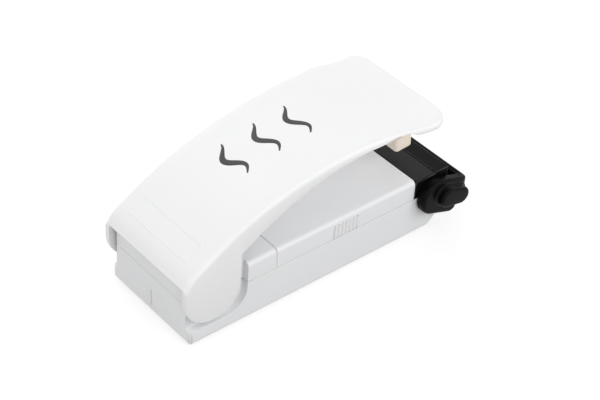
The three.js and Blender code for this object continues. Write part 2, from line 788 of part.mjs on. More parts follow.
// Loft through the sections, closed at both ends
function leverLoft(filled) {
  const loops = leverStations().map((x) => {
    const section = leverSection(x);
    return leverLoop(section, filled).map(([y, z]) => [x, y, z]);
  });
  const count = loops[0].length;
  const triangles = [];
  for (let i = 0; i + 1 < loops.length; i += 1) {
    for (let j = 0; j < count; j += 1) {
      const [a, b] = [i * count + j, i * count + (j + 1) % count];
      triangles.push(a, b, a + count, b, b + count, a + count);
    }
  }
  const flat = (loop) => loop.map(([, y, z]) => new THREE.Vector2(y, z));
  const lastStart = (loops.length - 1) * count;
  THREE.ShapeUtils.triangulateShape(flat(loops[0]), []).forEach(([a, b, c]) => triangles.push(a, c, b));
  THREE.ShapeUtils.triangulateShape(flat(loops[loops.length - 1]), [])
    .forEach(([a, b, c]) => triangles.push(lastStart + a, lastStart + b, lastStart + c));
  const geometry = new THREE.BufferGeometry();
  geometry.setAttribute('position', new THREE.Float32BufferAttribute(loops.flat(2), 3));
  geometry.setIndex(triangles);
  return toSolid(geometry);
}

// Flat ear on one side, round below and running up into the lever's skirt
function ear(s) {
  const shape = new THREE.Shape();
  const stations = Array.from({ length: cornerSteps + 1 }, (_, i) => earFront
    - (earFront - leverRear) * i / cornerSteps);
  shape.absarc(hingeX, earCentreHeight, earRadius, Math.PI, 2 * Math.PI, false);
  stations.forEach((x) => shape.lineTo(x, leverTop(Math.max(x, leverRear)).z - leverEdgeRadius));
  shape.closePath();
  return alongY(shape, s > 0 ? earInner : -earOuter, s > 0 ? earOuter : -earInner, smallRodSides);
}

function hingePins() {
  return bothSides((s) => rodY(hingePinRadius, hingeX, hingeZ,
    s > 0 ? earInner - hingePinReach - earClearance : -earInner - earThickness / 2,
    s > 0 ? earInner + earThickness / 2 : -earInner + hingePinReach + earClearance));
}

// Spring seat with its peg, plunger, ribs and bosses, trimmed by the lever's form
function leverFittings() {
  const top = leverRearHeight + leverRise;
  const ribs = ribPlaceShares.map((share) => {
    const x = leverRear + share * leverLength;
    const { half, under } = leverSection(x);
    const reach = half - leverWall / 2;
    return block(x, x + ribThickness, -reach, reach, under - ribDepth, under + leverWall / 2);
  });
  const bossBase = carrierFlangeHeight + carrierFlangeThickness + fitGap;
  const bosses = bothSides((s) => {
    const y = s * carrierScrewOffset;
    return rodZ(carrierBossRadius, padX, y, bossBase, top, rodSides)
      .subtract(rodZ(carrierScrewRadius + fitGap, padX, y, 0, carrierScrewTip() + fitGap));
  });
  const seat = rodZ(springSeatRadius, springX, 0, springSeatHeight, top, rodSides);
  const peg = rodZ(springPegRadius, springX, 0, springSeatHeight - springPegLength, top);
  const plunger = rodZ(plungerRadius, plungerX, 0, plungerTip, top, rodSides);
  return join([seat, peg, plunger, ...bosses, ...ribs]).intersect(leverCore());
}

// The lever's filled form, drawn down by half its wall
function leverCore() {
  return leverLoft(true).translate([0, 0, -leverWall / 2]);
}

function pressLever() {
  const bodyRoom = block(leverRear - cutOverrun, recessFront, -earInner, earInner,
    0, bodyHeight + lipHeightGap);
  return join([leverLoft(false).subtract(bodyRoom), ...bothSides(ear), leverFittings(), ...hingePins()]);
}

// Turns a solid about the hinge from the pressed place to the open place
function opened(solid) {
  return solid.translate([-hingeX, 0, -hingeZ]).rotate([0, -leverSwing, 0]).translate([hingeX, 0, hingeZ]);
}

function siliconePad() {
  const half = padWidth / 2;
  const end = padLength / 2;
  const plan = rounded([
    [padX - half, -end, padCornerRadius], [padX + half, -end, padCornerRadius],
    [padX + half, end, padCornerRadius], [padX - half, end, padCornerRadius]]);
  const slot = carrierBladeThickness / 2 + fitGap;
  const top = padFace + padHeight;
  return opened(alongZ(plan, padFace, top).subtract(block(padX - slot, padX + slot,
    -end - cutOverrun, end + cutOverrun, top - padSlotDepth, top + cutOverrun)));
}

function carrierScrewTip() {
  return carrierFlangeHeight + carrierScrewLength - fitGap;
}

// Blade that holds the pad, a body above it, and side flanges that screw to the lever
function padCarrier() {
  const padTop = padFace + padHeight;
  const half = padWidth / 2;
  const end = padLength / 2;
  const top = leverRearHeight + leverRise;
  const blade = block(padX - carrierBladeThickness / 2, padX + carrierBladeThickness / 2,
    -end, end, padTop - padSlotDepth + fitGap, padTop + carrierStandoff);
  const body = block(padX - half + carrierBodyOverhang, padX + half - carrierBodyOverhang,
    -end, end, padTop + fitGap, top);
  const flange = block(padX - half, padX + half, -carrierFlangeReach, carrierFlangeReach,
    carrierFlangeHeight, carrierFlangeHeight + carrierFlangeThickness);
  const ceilingGap = Math.min(leverSection(padX - padWidth).under,
    leverSection(padX + padWidth).under) - fitGap;
  const above = block(padX - leverLength, padX + leverLength, -side, side, ceilingGap,
    ceilingGap + leverLength);
  const bores = bothSides((s) => rodZ(carrierScrewRadius + fitGap, padX, s * carrierScrewOffset,
    padFace, top));
  return cut(join([opened(join([blade, body])).subtract(above), flange]), bores);
}

function carrierScrew(s) {
  const headTop = carrierFlangeHeight - fitGap;
  const y = s * carrierScrewOffset;
  const head = rodZ(carrierScrewHeadRadius, padX, y, headTop - carrierScrewHeadHeight, headTop);
  const shank = rodZ(carrierScrewRadius, padX, y, headTop - carrierScrewHeadHeight / 2, carrierScrewTip());
  const slot = block(padX - padWidth, padX + padWidth, y - screwSlotWidth / 2, y + screwSlotWidth / 2,
    0, headTop - carrierScrewHeadHeight / 2);
  return join([head, shank]).subtract(slot);
}

// Disc on a side, placed from the guard's pivot; near and far are distances from the centre plane
function guardDisc(s, reach, drop, radius, near, far) {
  return rodY(radius, guardX + reach, guardZ - drop, s > 0 ? near : -far, s > 0 ? far : -near);
}

// The discs of the guard's outline, drawn in by an inset
function guardRing(s, near, far, inset) {
  return [
    guardDisc(s, 0, guardRearDrop, guardRearRadius - inset, near, far),
    guardDisc(s, guardUpperReach, guardUpperDrop, guardUpperRadius - inset, near, far),
    guardDisc(s, guardLowerReach, guardLowerDrop, guardLowerRadius - inset, near, far)];
}

// Hull of the rings that one maker gives, with the outer rim eased in two steps
function easedHull(makeRing, far, ease) {
  const part = ease * (1 - Math.SQRT1_2);
  return wasm.Manifold.hull([
    ...makeRing(far - ease, 0), ...makeRing(far - part, part), ...makeRing(far, ease)]);
}

// Plan of the guard, with its front corners rounded
function guardPlan() {
  const tip = guardX + guardUpperReach + guardUpperRadius;
  const plan = rounded([
    [guardX - bodyWidth, -cheekOuter], [tip, -cheekOuter, guardPlanRadius],
    [tip, cheekOuter, guardPlanRadius], [guardX - bodyWidth, cheekOuter]]);
  return alongZ(plan, 0, 2 * guardZ, cornerSteps);
}

function guardCheek(s) {
  return easedHull((far, inset) => guardRing(s, cheekInner, far, inset), cheekOuter, guardRimRadius);
}

// Front wall between the cheeks, clear of the head while the guard swings
function guardWall() {
  const end = cheekInner + guardCheekThickness / 2;
  const wallRear = guardX + guardUpperReach + guardUpperRadius - guardWallSetback;
  const swing = guardDisc(1, 0, 0, guardSwingRadius, -cheekInner, cheekInner);
  const inside = wasm.Manifold.hull(guardRing(1, -cheekInner, cheekInner, guardWallThickness));
  const behind = block(guardX - bodyWidth, wallRear, -side - bodyWidth, side + bodyWidth, 0, 2 * guardZ);
  return cut(wasm.Manifold.hull(guardRing(1, -end, end, 0)), [swing, inside, behind]);
}

// Thumb boss on a cheek, flared at its foot
function thumbBoss(s) {
  const foot = cheekOuter - guardCheekThickness / 2;
  const ring = (far, inset) => [
    guardDisc(s, bossRearReach, bossRearDrop, bossRearRadius - inset, foot, far),
    guardDisc(s, bossFrontReach, bossFrontDrop, bossFrontRadius - inset, foot, far)];
  const flare = wasm.Manifold.hull([
    ...ring(cheekOuter + fitGap, -bossFlare), ...ring(cheekOuter + bossFlareHeight, 0)]);
  return easedHull(ring, cheekOuter + bossProud, bossRimRadius).add(flare);
}

function safetyGuard() {
  const frame = join([...bothSides(guardCheek), guardWall()]).intersect(guardPlan());
  const pins = bothSides((s) => guardDisc(s, 0, 0, guardPinRadius,
    side - guardPinReach, cheekInner + guardCheekThickness / 2));
  return join([frame, ...bothSides(thumbBoss), ...pins]);
}

// A cell lies along X; facing 1 puts its raised end to the front
function batteryCell(s, facing) {
  const profile = [
    [0, 0], [cellRadius - cellChamfer, 0], [cellRadius, cellChamfer],
    [cellRadius, cellLength - cellChamfer], [cellRadius - cellChamfer, cellLength],
    [cellNubRadius, cellLength], [cellNubRadius, cellLength + cellNubLength],
    [0, cellLength + cellNubLength]];
  const lathe = new THREE.LatheGeometry(profile.map(([r, h]) => new THREE.Vector2(r, h)), rodSides);
  const start = facing > 0 ? cellRear : batteryFront + batteryRear - cellRear;
  return toSolid(lathe.rotateZ(-facing * Math.PI / 2).translate(start, s * cellOffset, cellHeight));
}

// Conical spring at the flat end of a cell, its wide end on the contact plate
function batterySpring(name, s, facing) {
  const taper = (share) => batterySpringRadius + share * (batterySpringTipRadius - batterySpringRadius);
  const seat = facing > 0 ? contactRear + contactThickness + fitGap : contactFront - fitGap;
  return coil(name, batterySpringLength, batterySpringTurns, batterySpringWire, taper)
    .rotate([0, facing * quarterTurn, 0]).translate([seat, s * cellOffset, cellHeight]);
}

function contactPlate(x, y0, y1) {
  return block(x, x + contactThickness, y0, y1, contactFoot, seamHeight - contactTopDrop);
}

function rearContact(s) {
  return contactPlate(contactRear, s * cellOffset - contactWidth / 2, s * cellOffset + contactWidth / 2);
}

function bridgeContact() {
  return contactPlate(contactFront, -cellOffset - contactWidth / 2, cellOffset + contactWidth / 2);
}

// The moving leaf under the plunger, with its contact bump below the free end
function upperLeaf() {
  const pivot = rear + upperLeafPivotSetback;
  const end = pivot - upperLeafTail + upperLeafLength;
  const strip = block(pivot - upperLeafTail, end, -leafWidth / 2, leafWidth / 2,
    upperLeafHeight, upperLeafHeight + leafThickness);
  const bump = rodZ(contactBumpRadius, end - contactBumpRadius, 0, upperLeafHeight - contactBumpHeight,
    upperLeafHeight + leafThickness / 2);
  return join([strip, bump]).subtract(
    rodZ(leafScrewRadius + fitGap, pivot, 0, 0, bodyHeight));
}

function lowerScrewX() {
  return batteryRear - batteryWallThickness - lowerPostLength / 2;
}

function lowerLeaf() {
  const x = lowerScrewX();
  const strip = block(x - lowerLeafWidth / 2, x + lowerLeafWidth / 2, -lowerLeafWidth / 2, lowerLeafReach,
    lowerLeafHeight, lowerLeafHeight + leafThickness);
  const bump = rodZ(contactBumpRadius, x, 0, lowerLeafHeight + leafThickness / 2,
    lowerLeafHeight + leafThickness + contactBumpHeight);
  return join([strip, bump]).subtract(
    rodZ(leafScrewRadius + fitGap, x, leafScrewOffset, 0, bodyHeight));
}

function leafScrew(x, y, leafHeight) {
  return screwFromAbove(x, y, leafHeight + leafThickness + fitGap, leafScrewLength,
    leafScrewRadius, leafScrewHeadRadius, leafScrewHeadHeight);
}

function returnSpring() {
  const height = springSeatHeight - bodyHeight - 2 * fitGap;
  return coil('lever_return_spring', height, springTurns, springWire, () => springRadius)
    .translate([springX, 0, bodyHeight + fitGap]);
}

// A lead along its route, straight out of its ends
function lead(route) {
  const points = route.map(([x, y, z]) => new THREE.Vector3(x, y, z));
  return tube(points, leadRadius, leadSides, points.length * leadPointSteps);
}

function terminalEnd(s) {
  const y = s * (ribbonSpan / 2 + fitGap + terminalThickness + fitGap + leadRadius);
  const height = (terminalFoot + seamHeight) / 2 - leadRadius;
  return [
    [batteryFront - batteryWallThickness, s * leadChannel, cellHeight],
    [batteryFront + batteryWallThickness, s * leadChannel, cellHeight],
    [ribbonX - terminalWidth / 2, (s * leadChannel + y) / 2, height],
    [ribbonX, y, height], [ribbonX + terminalWidth / 2, y, height]];
}

function positiveLead() {
  const x = contactRear + contactThickness / 2;
  const edge = cellOffset + contactWidth / 2 + fitGap;
  const low = contactFoot + leadEntryRise;
  return lead([
    [x, edge, low], [x, edge + 2 * leadRadius, low],
    [x + 2 * leadRadius, edge + 4 * leadRadius, low],
    [x + cellRadius, leadChannel, (low + cellHeight) / 2],
    [x + 2 * cellRadius, leadChannel, cellHeight],
    ...terminalEnd(1)]);
}

function switchLead() {
  const x = batteryRear - fitGap / 2;
  const end = lowerScrewX() - lowerLeafWidth / 2 - fitGap;
  const level = lowerLeafHeight + leafThickness;
  return lead([
    [x, -cellOffset, cellHeight], [x - 3 * leadRadius, -cellOffset, cellHeight],
    [end - 2 * leadRadius, -cellOffset / 2, cellHeight],
    [end - 5 * leadRadius, 0, cellHeight],
    [end - 6 * leadRadius, leafScrewOffset / 2, cellHeight + leadRadius],
    [end - 5 * leadRadius, leafScrewOffset - leadRadius, level - leadRadius],
    [end - 2 * leadRadius, leafScrewOffset, level], [end, leafScrewOffset, level]]);
}

function returnLead() {
  const x = rear + upperLeafPivotSetback;
  const start = -leafWidth / 2 - fitGap;
  return lead([
    [x, start, upperLeafHeight], [x, start - 3 * leadRadius, upperLeafHeight],
    [x + 4 * leadRadius, -cellOffset, seamHeight],
    [capFront - returnBendSetback, -cellOffset - 4 * leadRadius, cellHeight + leadRadius],
    [batteryRear - returnBendGap, -leadChannel + leadRadius, cellHeight],
    [batteryRear, -leadChannel, cellHeight], [batteryRear + 2 * cellRadius, -leadChannel, cellHeight],
    ...terminalEnd(-1)]);
}

const sealer = new THREE.Group();
sealer.add(
  piece('lower_shell', lowerShell(), white),
  piece('rear_cap', rearCap(), white),
  piece('battery_cover', batteryCover(), white),
  piece('heater_head', heaterHead(), black),
  piece('heating_ribbon', heatingRibbon(), nichrome),
  piece('heater_film', heaterFilm(), film),
  piece('ribbon_terminal_1', ribbonTerminal(-1), brass),
  piece('ribbon_terminal_2', ribbonTerminal(1), brass),
  piece('press_lever', pressLever(), white),
  piece('pad_carrier', padCarrier(), white),
  piece('silicone_pad', siliconePad(), cream),
  piece('carrier_screw_1', carrierScrew(-1), steel),
  piece('carrier_screw_2', carrierScrew(1), steel),
  piece('lever_return_spring', returnSpring(), steel),
  piece('safety_guard', safetyGuard(), black),
  piece('battery_cell_1', batteryCell(-1, 1), jacket),
  piece('battery_cell_2', batteryCell(1, -1), jacket),
  piece('battery_spring_1', batterySpring('battery_spring_1', -1, 1), steel),
  piece('battery_spring_2', batterySpring('battery_spring_2', 1, -1), steel),
  piece('negative_contact', rearContact(-1), brass),
  piece('positive_contact', rearContact(1), brass),
  piece('bridge_contact', bridgeContact(), brass),
  piece('switch_leaf_upper', upperLeaf(), brass),
  piece('switch_leaf_lower', lowerLeaf(), brass),
  piece('leaf_screw_upper', leafScrew(rear + upperLeafPivotSetback, 0, upperLeafHeight), steel),
  piece('leaf_screw_lower', leafScrew(lowerScrewX(), leafScrewOffset, lowerLeafHeight), steel),
  piece('lead_positive', positiveLead(), redSleeve),
  piece('lead_switch', switchLead(), blackSleeve),
  piece('lead_return', returnLead(), blackSleeve),
);
housingScrews.forEach(([x, y], i) => sealer.add(
  piece(`housing_screw_${i + 1}`, screwFromBelow(x, y, screwHeadSink, screwTop), steel)));

export default sealer;
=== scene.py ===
"""Looks of a handheld heat sealer: a white press lever over a white body, with a black
heated head, a cream pad and a black swing guard. Metres, +X to the jaw end, +Z up."""
import logging
import math
from dataclasses import dataclass, field, replace
from enum import Enum
from functools import partial

import bpy
import numpy as np
from mathutils import Matrix


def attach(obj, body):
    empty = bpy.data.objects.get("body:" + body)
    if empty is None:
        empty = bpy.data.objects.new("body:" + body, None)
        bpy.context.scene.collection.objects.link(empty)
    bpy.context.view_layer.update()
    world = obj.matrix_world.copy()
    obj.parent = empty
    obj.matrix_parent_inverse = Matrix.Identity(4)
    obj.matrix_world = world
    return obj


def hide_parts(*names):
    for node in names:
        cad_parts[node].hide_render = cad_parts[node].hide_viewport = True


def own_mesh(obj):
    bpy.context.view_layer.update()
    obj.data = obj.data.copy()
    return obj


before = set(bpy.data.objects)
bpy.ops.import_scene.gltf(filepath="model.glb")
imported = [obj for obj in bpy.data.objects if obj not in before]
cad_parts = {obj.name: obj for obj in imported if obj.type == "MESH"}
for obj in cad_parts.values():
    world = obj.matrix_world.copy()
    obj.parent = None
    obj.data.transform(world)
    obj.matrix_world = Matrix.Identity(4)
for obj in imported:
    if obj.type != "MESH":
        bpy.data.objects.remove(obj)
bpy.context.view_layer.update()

LOG = logging.getLogger("sealer")
MM = 0.001
TOLERANCE = 0.001  # millimetres
ROD_SIDES = 40
Array = np.ndarray
Pair = tuple[float, float]
Triple = tuple[float, float, float]
Route = list[Triple]


# ---------------------------------------------------------------- closed surfaces


@dataclass
class Shell:
    """One closed surface: points (n, 3) in metres, quads (m, 4), and the two end polygons."""

    points: Array
    quads: Array
    caps: list[Array]


def quarter(count: int) -> Array:
    """Angles over a quarter turn, with both of its ends."""
    return np.linspace(0, np.pi / 2, count)


def full_turn(count: int) -> Array:
    """Angles over a full turn, without its end."""
    return np.linspace(0, 2 * np.pi, count, endpoint=False)


def directions(angle: Array) -> Array:
    """Points (n, 2) on a circle of radius one: cosine and sine of each angle."""
    return np.stack([np.cos(angle), np.sin(angle)], axis=1)


def rounding(count: int) -> tuple[Array, Array]:
    """Offsets along a quarter circle of radius one, to be scaled to any rounded rim.

    Args:
        count: Points on the quarter circle.
    Returns:
        One less the sine, which falls from 1 to 0, and one less the cosine, which rises.
    """
    turn = quarter(count)
    return 1 - np.sin(turn), 1 - np.cos(turn)


def unit(vectors: Array) -> Array:
    """Each row scaled to length one."""
    return vectors / np.linalg.norm(vectors, axis=-1, keepdims=True)


def smooth_step(x: Array, start: float, length: float) -> Array:
    """Rises from 0 to 1 over a length, with level ends: share squared times 3 less 2 shares."""
    share = np.clip((x - start) / length, 0, 1)
    return share * share * (3 - 2 * share)


def tetra_sum(a: Array, b: Array, c: Array) -> float:
    """Sum of the signed tetrahedra from the origin to triangles a, b, c."""
    return float(np.einsum("ij,ij->", a, np.cross(b, c)) / 6)


def signed_volume(shell: Shell) -> float:
    """Volume inside a shell, summed over its quads and end polygons as fans.

    Args:
        shell: The closed surface.
    Returns:
        The volume, negative where the faces point inwards.
    """
    a, b, c, d = shell.points[shell.quads].transpose(1, 0, 2)
    total = tetra_sum(a, b, c) + tetra_sum(a, c, d)
    for cap in shell.caps:
        fan = shell.points[cap]
        total += tetra_sum(np.broadcast_to(fan[0], fan[1:-1].shape), fan[1:-1], fan[2:])
    return total


def turned(shell: Shell) -> Shell:
    """The same surface with its faces turned round."""
    return Shell(shell.points, shell.quads[:, ::-1], [cap[::-1] for cap in shell.caps])


def ring_shell(rings: Array) -> Shell:
    """Closes a stack of closed rings into one outward surface.

    The surface is a grid of two parameters, along the stack and round each ring, whose
    neighbours are joined by quads, with one polygon over each end.

    Args:
        rings: Points of shape (rings, points per ring, 3), in metres.
    Returns:
        The closed shell, with its faces turned outwards.
    """
    count, around, _ = rings.shape
    ids = np.arange(count * around).reshape(count, around)
    nxt = np.roll(ids, -1, axis=1)
    quads = np.stack([ids[:-1], nxt[:-1], nxt[1:], ids[1:]], axis=-1).reshape(-1, 4)
    shell = Shell(rings.reshape(-1, 3), quads, [ids[0][::-1], ids[-1]])
    return turned(shell) if signed_volume(shell) < 0 else shell


def tube_shell(path: Array, side: Array, radius: float, sides: int) -> Shell:
    """A round tube: a circle carried along a path.

    At each point the circle lies in the plane of the given side direction and of the
    direction square to both it and the path.

    Args:
        path: Points of the centre line, (n, 3), in metres.
        side: A direction across the path at each point, (n, 3).
        radius: Radius of the tube.
        sides: Points round the circle.
    Returns:
        The closed tube.
    """
    tangent = unit(np.gradient(path, axis=0))
    side = unit(side - tangent * np.sum(side * tangent, axis=1, keepdims=True))
    up = np.cross(tangent, side)
    angle = full_turn(sides)[None, :, None]
    circle = np.cos(angle) * side[:, None] + np.sin(angle) * up[:, None]
    return ring_shell(path[:, None] + radius * circle)


def rod_shell(centre: Triple, axis: int, length: float, radius: float, ease: float) -> Shell:
    """A round rod along one axis with its far rim eased by a quarter circle.

    Args:
        centre: Middle of the rod's near end, in millimetres, as are all its sizes.
        axis: 0, 1 or 2 for X, Y or Z.
        length: Signed length along the axis.
        radius: Radius of the rod.
        ease: Radius of the far rim, or 0 for a sharp one.
    Returns:
        The closed rod.
    """
    length, radius, ease = length * MM, radius * MM, ease * MM
    turn = quarter(5 if ease else 1)
    along = np.concatenate([[0.0], abs(length) - ease + ease * np.sin(turn)]) * np.sign(length)
    radii = np.concatenate([[radius], radius - ease + ease * np.cos(turn)])
    angle = full_turn(ROD_SIDES)
    rings = np.zeros((len(along), ROD_SIDES, 3))
    rings[..., axis] = along[:, None]
    rings[..., (axis + 1) % 3] = radii[:, None] * np.cos(angle)
    rings[..., (axis + 2) % 3] = radii[:, None] * np.sin(angle)
    return ring_shell(rings + np.array(centre) * MM)


def rounded_rectangle(low: Pair, high: Pair, corner: float, samples: int) -> Array:
    """Outline of a rectangle whose corners are quarter circles.

    Args:
        low: Its lower corner.
        high: Its upper corner.
        corner: Radius of the quarter circles.
        samples: Points on each of them.
    Returns:
        Points (4 * samples, 2), anticlockwise from the side of larger x.
    """
    (x0, y0), (x1, y1) = low, high
    centres = ((x1 - corner, y1 - corner), (x0 + corner, y1 - corner),
               (x0 + corner, y0 + corner), (x1 - corner, y0 + corner))
    return np.concatenate([np.array(centre) + corner * directions(quarter(samples) + start)
                           for centre, start in zip(centres, full_turn(4))])


def catmull(points: Array, steps: int, power: float = 0.25) -> Array:
    """Smooth curve through points, by the Catmull-Rom rule.

    Each stretch is a cubic whose end slopes come from the neighbours, with the parameter's
    pace set by the distance between points to a power; the end points are mirrored outwards.

    Args:
        points: Points to pass through, (n, d).
        steps: Samples on each stretch.
        power: Power of the squared distance that sets the pace; 0 is an even pace.
    Returns:
        The sampled curve, (stretches * steps + 1, d).
    """
    table = np.array([2 * points[0] - points[1], *points, 2 * points[-1] - points[-2]])
    p0, p1, p2, p3 = table[:-3], table[1:-2], table[2:-1], table[3:]
    d0, d1, d2 = (np.sum((b - a) ** 2, axis=1, keepdims=True) ** power
                  for a, b in ((p0, p1), (p1, p2), (p2, p3)))
    m1 = ((p1 - p0) / d0 - (p2 - p0) / (d0 + d1) + (p2 - p1) / d1) * d1
    m2 = ((p2 - p1) / d1 - (p3 - p1) / (d1 + d2) + (p3 - p2) / d2) * d1
    t = (np.arange(steps) / steps)[None, :, None]
    curve = ((2 * t**3 - 3 * t**2 + 1) * p1[:, None] + (t**3 - 2 * t**2 + t) * m1[:, None]
             + (3 * t**2 - 2 * t**3) * p2[:, None] + (t**3 - t**2) * m2[:, None])
    return np.concatenate([curve.reshape(-1, points.shape[1]), points[-1:]])


# ---------------------------------------------------------------- shader groups

MIX_INPUTS, MIX_OUTPUT = (6, 7), 2  # a Mix node's colour sockets
FLOAT, VECTOR = "NodeSocketFloat", "NodeSocketVector"


class Nodes:
    """A node tree being filled, with short calls for the nodes that the effects use."""

    def __init__(self, tree: bpy.types.NodeTree) -> None:
        """Keeps the tree to fill."""
        self.tree = tree

    def feed(self, socket: bpy.types.NodeSocket, value: object) -> None:
        """Fills an input.

        Args:
            socket: The input.
            value: The socket to link to it, or else its own value.
        """
        if isinstance(value, bpy.types.NodeSocket):
            self.tree.links.new(value, socket)
        else:
            socket.default_value = value

    def add(self, kind: str, *ordered: object, **named: object) -> bpy.types.Node:
        """Adds a node, then sets its properties and its inputs.

        Args:
            kind: The node's type name.
            ordered: What its first inputs take.
            named: Its properties, and inputs with their spaces written as underscores.
        Returns:
            The new node.
        """
        node = self.tree.nodes.new(kind)
        for name, value in named.items():
            if hasattr(node, name):
                setattr(node, name, value)
            else:
                self.feed(node.inputs[name.replace("_", " ")], value)
        for socket, value in zip(node.inputs, ordered):
            self.feed(socket, value)
        return node

    def math(self, operation: str, *values: object) -> bpy.types.NodeSocket:
        """A Math node on one to three values; returns its result."""
        return self.add("ShaderNodeMath", *values, operation=operation).outputs[0]

    def noise(self, vector: bpy.types.NodeSocket, scale: object,
              detail: float) -> bpy.types.NodeSocket:
        """A Noise Texture's value at a vector, from about 0 to 1."""
        noise = self.add("ShaderNodeTexNoise", Vector=vector, Scale=scale, Detail=detail)
        return noise.outputs["Fac"]

    def ramp(self, value: object, low: float, high: float,
             to_low: float = 0.0) -> bpy.types.NodeSocket:
        """A value that runs from to_low at low to 1 at high, and is held beyond them."""
        return self.add("ShaderNodeMapRange", Value=value, From_Min=low, From_Max=high,
                        To_Min=to_low).outputs["Result"]

    def mix(self, factor: object, first: object, second: object) -> bpy.types.NodeSocket:
        """Mixes two colours.

        Args:
            factor: Share of the second colour.
            first: Colour at 0.
            second: Colour at 1.
        Returns:
            The mixed colour.
        """
        node = self.add("ShaderNodeMix", factor, data_type="RGBA")
        for number, colour in zip(MIX_INPUTS, (first, second)):
            self.feed(node.inputs[number], colour)
        return node.outputs[MIX_OUTPUT]


def new_group(name: str, values: dict[str, float],
              outputs: dict[str, str]) -> tuple[Nodes, bpy.types.Node]:
    """Starts a shader group that takes a Vector and some values.

    Args:
        name: The group's name.
        values: Name and default of each value.
        outputs: Name and socket type of each output.
    Returns:
        The tree to fill, and its input node.
    """
    tree = bpy.data.node_groups.new(name, "ShaderNodeTree")
    tree.interface.new_socket("Vector", in_out="INPUT", socket_type=VECTOR)
    for label, value in values.items():
        socket = tree.interface.new_socket(label, in_out="INPUT", socket_type=FLOAT)
        socket.default_value = value
    for label, kind in outputs.items():
        tree.interface.new_socket(label, in_out="OUTPUT", socket_type=kind)
    nodes = Nodes(tree)
    return nodes, nodes.add("NodeGroupInput")


def grain_group() -> bpy.types.NodeTree:
    """Moulded grain: fine pits over a broad, shallow waviness, as a height and a broad tint.

    Returns:
        The group, with Vector, Scale and Waviness in, and Height and Tint out.
    """
    nodes, start = new_group("moulded_grain", {"Scale": 2000.0, "Waviness": 0.3},
                             {"Height": FLOAT, "Tint": FLOAT})
    vector, scale, waviness = (start.outputs[name] for name in ("Vector", "Scale", "Waviness"))
    fine = nodes.noise(vector, scale, detail=3.0)
    broad = nodes.noise(vector, nodes.math("MULTIPLY", scale, 0.035), detail=2.0)
    nodes.add("NodeGroupOutput", Height=nodes.math("MULTIPLY_ADD", broad, waviness, fine),
              Tint=nodes.ramp(broad, low=0.3, high=0.7))
    return nodes.tree


def wear_group() -> bpy.types.NodeTree:
    """Eased edges: a rounded edge's normal, and a mask where it parts from the plain one.

    The mask is broken up by noise into patches. The finishes turn these edges to their edge colour,
    which is real wear and, on the black mouldings, a painted highlight along the rims.

    Returns:
        The group, with Vector, Radius and Patches in, and Mask and Normal out.
    """
    nodes, start = new_group("edge_wear", {"Radius": 0.0003, "Patches": 300.0},
                             {"Mask": FLOAT, "Normal": VECTOR})
    bevel = nodes.add("ShaderNodeBevel", samples=8, Radius=start.outputs["Radius"])
    plain = nodes.add("ShaderNodeNewGeometry")
    across = nodes.add("ShaderNodeVectorMath", bevel.outputs[0], plain.outputs["True Normal"],
                       operation="DOT_PRODUCT")
    edge = nodes.ramp(across.outputs["Value"], low=0.995, high=0.9)
    noise = nodes.noise(start.outputs["Vector"], start.outputs["Patches"], detail=3.0)
    patches = nodes.ramp(noise, low=0.35, high=0.65, to_low=0.3)
    nodes.add("NodeGroupOutput", Mask=nodes.math("MULTIPLY", edge, patches),
              Normal=bevel.outputs[0])
    return nodes.tree


def film_group() -> bpy.types.NodeTree:
    """Handling film: soft cloudy patches, as a mask.

    Returns:
        The group, with Vector and Scale in, and Mask out.
    """
    nodes, start = new_group("handling_film", {"Scale": 60.0}, {"Mask": FLOAT})
    clouds = nodes.noise(start.outputs["Vector"], start.outputs["Scale"], detail=5.0)
    nodes.add("NodeGroupOutput", Mask=nodes.ramp(clouds, low=0.4, high=0.75))
    return nodes.tree


def weave_group() -> bpy.types.NodeTree:
    """Plain weave: two sets of round threads at right angles, each over and under in turn.

    The height is the larger of two sine ridges, where each ridge is weighted by the product
    of both sines, rising for one set and falling for the other.

    Returns:
        The group, with Vector and Count (threads per metre) in, and Height out.
    """
    nodes, start = new_group("plain_weave", {"Count": 2000.0}, {"Height": FLOAT})
    parts = nodes.add("ShaderNodeSeparateXYZ", start.outputs["Vector"])
    angle = nodes.math("MULTIPLY", start.outputs["Count"], math.pi)
    waves = [nodes.math("SINE", nodes.math("MULTIPLY", parts.outputs[axis], angle))
             for axis in ("X", "Y")]
    over = nodes.math("MULTIPLY", *waves)
    threads = [nodes.math("MULTIPLY", nodes.math("ABSOLUTE", wave),
                          nodes.ramp(over, low=-way, high=way, to_low=0.55))
               for wave, way in zip(waves, (1.0, -1.0))]
    nodes.add("NodeGroupOutput", Height=nodes.math("MAXIMUM", *threads))
    return nodes.tree


def brush_group() -> bpy.types.NodeTree:
    """Drawn metal: noise stretched along X into fine lines, as a height and a tint.

    Returns:
        The group, with Vector, Scale and Stretch in, and Height and Tint out.
    """
    nodes, start = new_group("drawn_metal", {"Scale": 3000.0, "Stretch": 0.04},
                             {"Height": FLOAT, "Tint": FLOAT})
    vector = start.outputs["Vector"]
    size = nodes.add("ShaderNodeCombineXYZ", start.outputs["Stretch"], 1.0, 1.0)
    scaled = nodes.add("ShaderNodeVectorMath", vector, size.outputs[0], operation="MULTIPLY")
    broad = nodes.noise(vector, 250.0, detail=3.0)
    nodes.add("NodeGroupOutput",
              Height=nodes.noise(scaled.outputs[0], start.outputs["Scale"], detail=3.0),
              Tint=nodes.ramp(broad, low=0.3, high=0.7))
    return nodes.tree


class Effect(Enum):
    """The shared shader groups, each built once."""

    GRAIN = "moulded_grain"
    WEAR_AND_HIGHLIGHT = "edge_wear"
    FILM = "handling_film"
    WEAVE = "plain_weave"
    BRUSH = "drawn_metal"

    def group(self) -> bpy.types.NodeTree:
        """The group's node tree, built when first asked for."""
        return bpy.data.node_groups.get(self.value) or BUILDERS[self]()


BUILDERS = {Effect.GRAIN: grain_group, Effect.WEAR_AND_HIGHLIGHT: wear_group, Effect.FILM: film_group,
            Effect.WEAVE: weave_group, Effect.BRUSH: brush_group}


